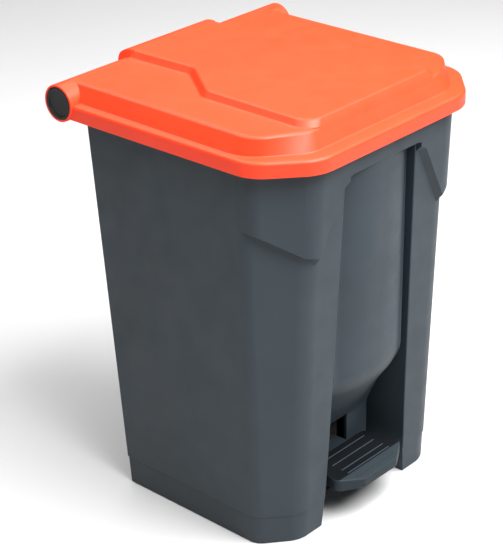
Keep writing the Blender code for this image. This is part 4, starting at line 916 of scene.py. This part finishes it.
def make_pedal():
    pedal = pedal_block("pedal_tread", 0.0, PEDAL_BOTTOM_Z, 0.0, PEDAL_EDGE)
    cut(pedal, pedal_block("pedal_hollow", PEDAL_WALL, PEDAL_BOTTOM_Z - CLEAR, PEDAL_WALL, 0.0))
    front, back = (at_depth(distance) for distance in PEDAL_NECK_DEPTHS)
    top = PEDAL_TOP_Z - PEDAL_NECK_DROP
    neck_low = (-PEDAL_NECK_HALF_WIDTH, front, top - PEDAL_NECK_THICKNESS)
    join(pedal, box("pedal_neck", neck_low, (PEDAL_NECK_HALF_WIDTH, back, top), PEDAL_NECK_EDGE))
    front, back = (at_depth(distance) for distance in LEVER_WAY_DEPTHS)
    way_low = (-LEVER_WAY_HALF_WIDTH, front, PEDAL_BOTTOM_Z - CLEAR)
    cut(pedal, box("lever_way", way_low, (LEVER_WAY_HALF_WIDTH, back, PEDAL_SEAT_Z)))
    up = (0, 0, 1)
    for distance in PEDAL_SCREW_DEPTHS:
        centre = (0, at_depth(distance), PEDAL_SEAT_Z + PEDAL_BOSS_HEIGHT / 2)
        join(pedal, cylinder("pedal_boss", centre, up, PEDAL_BOSS_RADIUS, PEDAL_BOSS_HEIGHT))
        centre = (0, at_depth(distance), PEDAL_TOP_Z - PEDAL_SCREW_SKIN - CLEAR)
        cut(pedal, cylinder("pedal_hole", centre, up, SCREW_HOLE, 2 * CLEAR, HOLE_SEGMENTS))
    for distance in RIB_DEPTHS:
        join(pedal, make_rib(distance, RIB_HALF_LENGTH, PEDAL_TOP_Z, 0.0))
    nose = PEDAL_OUTLINE[0][1]
    slope = math.atan2(PEDAL_TOP_Z - PEDAL_NOSE_Z, PEDAL_SLOPE_DEPTH - nose)
    middle = (PEDAL_SLOPE_DEPTH + nose) / 2
    height = (PEDAL_TOP_Z + PEDAL_NOSE_Z) / 2 - NOSE_RIB_SINK
    join(pedal, make_rib(middle, NOSE_RIB_HALF_LENGTH, height, slope))
    return settle(pedal)


# ---------------------------------------------------------------- finishes

class Finish:
    """A Principled material and short ways to add the nodes that vary it."""

    def __init__(self, name, colour, roughness, metallic=0.0):
        self.material = bpy.data.materials.new(name)
        self.material.use_nodes = True
        self.tree = self.material.node_tree
        self.shader = self.tree.nodes["Principled BSDF"]
        self.shader.inputs["Base Color"].default_value = (*colour, 1.0)
        self.shader.inputs["Roughness"].default_value = roughness
        self.shader.inputs["Metallic"].default_value = metallic
        self.place = self.tree.nodes.new("ShaderNodeTexCoord").outputs["Object"]

    def noise(self, scale, detail=3.0, stretch=None):
        node = self.tree.nodes.new("ShaderNodeTexNoise")
        node.inputs["Scale"].default_value = scale
        node.inputs["Detail"].default_value = detail
        place = self.place
        if stretch:
            mapping = self.tree.nodes.new("ShaderNodeMapping")
            mapping.inputs["Scale"].default_value = stretch
            self.tree.links.new(place, mapping.inputs["Vector"])
            place = mapping.outputs["Vector"]
        self.tree.links.new(place, node.inputs["Vector"])
        return node.outputs["Fac"]

    def spread(self, value, low, high, start=0.3, end=0.7):
        node = self.tree.nodes.new("ShaderNodeMapRange")
        node.inputs["From Min"].default_value = start
        node.inputs["From Max"].default_value = end
        node.inputs["To Min"].default_value = low
        node.inputs["To Max"].default_value = high
        self.tree.links.new(value, node.inputs["Value"])
        return node.outputs["Result"]

    def product(self, first, second):
        node = self.tree.nodes.new("ShaderNodeMath")
        node.operation = "MULTIPLY"
        self.tree.links.new(first, node.inputs[0])
        self.tree.links.new(second, node.inputs[1])
        return node.outputs["Value"]

    def blend(self, share, first, second):
        node = self.tree.nodes.new("ShaderNodeMixRGB")
        self.tree.links.new(share, node.inputs["Fac"])
        self.tree.links.new(first, node.inputs["Color1"])
        self.tree.links.new(second, node.inputs["Color2"])
        return node.outputs["Color"]

    def ramp(self, value, *stops):
        node = self.tree.nodes.new("ShaderNodeValToRGB")
        ramp = node.color_ramp
        while len(ramp.elements) < len(stops):
            ramp.elements.new(0.5)
        for element, (position, colour) in zip(ramp.elements, stops):
            element.position = position
            element.color = (*colour, 1.0)
        self.tree.links.new(value, node.inputs["Fac"])
        return node.outputs["Color"]

    def colours(self, value, *stops):
        self.tree.links.new(self.ramp(value, *stops), self.shader.inputs["Base Color"])

    def roughness(self, value, low, high):
        self.tree.links.new(self.spread(value, low, high), self.shader.inputs["Roughness"])

    def bumps(self, *layers):
        """Stack bump layers of (height value, strength, distance)."""
        normal = None
        for value, strength, distance in layers:
            node = self.tree.nodes.new("ShaderNodeBump")
            node.inputs["Strength"].default_value = strength
            node.inputs["Distance"].default_value = distance
            self.tree.links.new(value, node.inputs["Height"])
            if normal:
                self.tree.links.new(normal, node.inputs["Normal"])
            normal = node.outputs["Normal"]
        self.tree.links.new(normal, self.shader.inputs["Normal"])


def shade(colour, factor):
    return tuple(min(channel * factor, 1.0) for channel in colour)


def moulded(name, colour, roughness, grain, variation=0.10):
    """Moulded plastic: a fine spark-eroded grain, slow colour drift, and a slightly uneven sheen."""
    finish = Finish(name, colour, roughness)
    drift = finish.noise(7.0, 2.0)
    low, high = shade(colour, 1.0 - variation), shade(colour, 1.0 + variation)
    finish.colours(drift, (0.30, low), (0.70, high))
    finish.roughness(finish.noise(30.0, 4.0), roughness - 0.05, roughness + 0.06)
    finish.bumps((finish.noise(60.0, 2.0), 0.10, 0.0006), (finish.noise(1100.0, 2.0), grain, 0.0002))
    finish.shader.inputs["Specular IOR Level"].default_value = 0.30
    return finish.material


def tread_finish(name, colour, side_colour, rib_highlight_colour):
    """The pedal's plastic: dark on the tread, and paler on its sides and its sloping front; its ribs are painted a
    still lighter colour, a painted highlight.
    """
    finish = Finish(name, colour, 0.52)
    axes = finish.tree.nodes.new("ShaderNodeSeparateXYZ")
    finish.tree.links.new(finish.place, axes.inputs["Vector"])
    top = finish.spread(axes.outputs["Z"], 0.0, 1.0, PEDAL_TOP_Z - 0.0006, PEDAL_TOP_Z - 0.0001)
    slope_y = at_depth(PEDAL_SLOPE_DEPTH)
    behind = finish.spread(axes.outputs["Y"], 0.0, 1.0, slope_y - 0.001, slope_y + 0.001)
    # The ribs' tops are painted lighter: a painted highlight standing in for the sheen along them.
    rib = finish.spread(axes.outputs["Z"], 0.0, 1.0, PEDAL_TOP_Z + 0.0004, PEDAL_TOP_Z + 0.0010)
    on_tread = finish.product(top, behind)
    drift = finish.noise(9.0, 2.0)
    dark = finish.ramp(drift, (0.30, shade(colour, 0.9)), (0.70, shade(colour, 1.1)))
    pale = finish.ramp(drift, (0.30, shade(side_colour, 0.93)), (0.70, shade(side_colour, 1.07)))
    rib_highlight = finish.ramp(drift, (0.30, shade(rib_highlight_colour, 0.95)), (0.70, shade(rib_highlight_colour, 1.05)))
    blended = finish.blend(rib, finish.blend(on_tread, pale, dark), rib_highlight)
    finish.tree.links.new(blended, finish.shader.inputs["Base Color"])
    finish.roughness(finish.noise(30.0, 4.0), 0.47, 0.58)
    finish.bumps((finish.noise(60.0, 2.0), 0.10, 0.0006), (finish.noise(1100.0, 2.0), 0.22, 0.0002))
    finish.shader.inputs["Specular IOR Level"].default_value = 0.12
    return finish.material


def zinc(name):
    finish = Finish(name, (0.55, 0.56, 0.58), 0.34, 1.0)
    drift = finish.noise(40.0, 4.0)
    finish.colours(drift, (0.30, (0.44, 0.45, 0.47)), (0.70, (0.62, 0.63, 0.65)))
    finish.roughness(finish.noise(160.0, 3.0, (1.0, 12.0, 1.0)), 0.26, 0.46)
    finish.bumps((finish.noise(420.0, 2.0, (1.0, 10.0, 1.0)), 0.12, 0.0001))
    return finish.material


def soft_rubber(name):
    finish = Finish(name, (0.015, 0.015, 0.015), 0.8)
    finish.colours(finish.noise(90.0), (0.30, (0.010, 0.010, 0.011)), (0.70, (0.026, 0.026, 0.027)))
    finish.roughness(finish.noise(240.0), 0.70, 0.92)
    finish.bumps((finish.noise(900.0), 0.25, 0.0002))
    return finish.material


def floor_finish():
    finish = Finish("floor_finish", (0.52, 0.52, 0.52), 0.7)
    finish.colours(finish.noise(2.0), (0.30, (0.515, 0.515, 0.515)), (0.70, (0.525, 0.525, 0.525)))
    finish.shader.inputs["Specular IOR Level"].default_value = 0.2
    return finish.material


# ---------------------------------------------------------------- assembly

def merge_vertices(piece):
    """Close the hairline seams that cutting leaves, so that the shading runs on over them."""
    form = bmesh.new()
    form.from_mesh(piece.data)
    bmesh.ops.remove_doubles(form, verts=form.verts, dist=MERGE)
    form.to_mesh(piece.data)
    form.free()


def dress(piece, material, body, slot, *nodes):
    piece.data.materials.clear()
    piece.data.materials.append(material)
    merge_vertices(piece)
    piece.data.shade_smooth()
    piece.data.set_sharp_from_angle(angle=SHARP_ANGLE)
    weighted = piece.modifiers.new("weighted normals", "WEIGHTED_NORMAL")
    weighted.keep_sharp = True
    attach(piece, body)
    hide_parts(*nodes)


def finish_nodes(materials):
    """Give the CAD nodes that stay in sight their finished materials, by the record's slots."""
    for subpart in frame["record"]["subparts"]:
        node = frame["nodes"].get(subpart["node"])
        if node and subpart["material_slot"] in materials:
            node.data.materials.clear()
            node.data.materials.append(materials[subpart["material_slot"]])


def add_area(name, place, target, size, power, colour=(1.0, 1.0, 1.0)):
    data = bpy.data.lights.new(name, "AREA")
    data.shape = "RECTANGLE"
    data.size, data.size_y = size
    data.energy = power
    data.color = colour
    lamp = bpy.data.objects.new(name, data)
    bpy.context.scene.collection.objects.link(lamp)
    lamp.location = place
    lamp.rotation_euler = (Vector(target) - Vector(place)).to_track_quat("-Z", "Y").to_euler()


def make_stage():
    form = bmesh.new()
    bmesh.ops.create_grid(form, x_segments=2, y_segments=2, size=6.0)
    floor = from_bmesh("floor", form)
    floor.data.materials.append(floor_finish())
    world = bpy.data.worlds.new("studio")
    bpy.context.scene.world = world
    world.use_nodes = True
    background = world.node_tree.nodes["Background"]
    background.inputs["Color"].default_value = (1.0, 1.0, 1.0, 1.0)
    background.inputs["Strength"].default_value = 0.03
    middle = (0.0, 0.0, 0.35)
    add_area("top_light", (0.0, 0.5, 3.6), middle, (4.6, 4.6), 230.0)
    add_area("front_light", (0.3, -1.8, 3.0), middle, (3.0, 2.0), 312.0)
    add_area("side_light", (-2.4, -0.4, 2.4), middle, (1.8, 1.8), 2.0)


def make_camera():
    azimuth = math.radians(CAMERA_AZIMUTH)
    elevation = math.radians(CAMERA_ELEVATION)
    roll = math.radians(CAMERA_ROLL)
    look = Vector((
        -math.sin(azimuth) * math.cos(elevation),
        math.cos(azimuth) * math.cos(elevation),
        -math.sin(elevation),
    ))
    right = Vector((math.cos(azimuth), math.sin(azimuth), 0.0))
    up = right.cross(look)
    across = math.cos(roll) * right + math.sin(roll) * up
    along = math.cos(roll) * up - math.sin(roll) * right
    data = bpy.data.cameras.new("camera")
    data.sensor_width = SENSOR
    data.lens = CAMERA_LENS
    data.clip_start = 0.05
    camera = bpy.data.objects.new("camera", data)
    bpy.context.scene.collection.objects.link(camera)
    turn = Matrix((across, along, -look)).transposed().to_4x4()
    camera.matrix_world = Matrix.Translation(CAMERA_PLACE) @ turn
    bpy.context.scene.camera = camera


def main():
    slate = moulded("slate_plastic", (0.0245, 0.0345, 0.0430), 0.50, 0.22, 0.07)
    orange = moulded("orange_plastic", (0.95, 0.052, 0.015), 0.42, 0.12, 0.04)
    # The third colour is the painted highlight on the pedal's ribs.
    dark, pale, rib_highlight = (0.0045, 0.0058, 0.0072), (0.0215, 0.0290, 0.0350), (0.034, 0.045, 0.054)
    tread = tread_finish("pedal_plastic", dark, pale, rib_highlight)
    black = moulded("black_plastic", (0.007, 0.0065, 0.0072), 0.42, 0.15)
    nylon = moulded("nylon", (0.75, 0.74, 0.70), 0.45, 0.08, 0.04)
    materials = {
        "slate_plastic": slate,
        "orange_plastic": orange,
        "pedal_plastic": tread,
        "black_plastic": black,
        "nylon": nylon,
        "zinc_steel": zinc("zinc_steel"),
        "rubber": soft_rubber("rubber"),
    }
    finish_nodes(materials)
    dress(make_body(), slate, "bin", "slate_plastic", "bin_body")
    dress(make_lid(), orange, "lid_set", "orange_plastic", "lid")
    for side, name in ((-1, "left"), (1, "right")):
        dress(make_cap(side, f"cap_{name}"), black, "lid_set", "black_plastic", f"hinge_cap_{name}")
    dress(make_pedal(), tread, "pedal_set", "pedal_plastic", "pedal")
    make_stage()
    make_camera()
    bpy.context.scene.view_settings.view_transform = "Standard"


main()
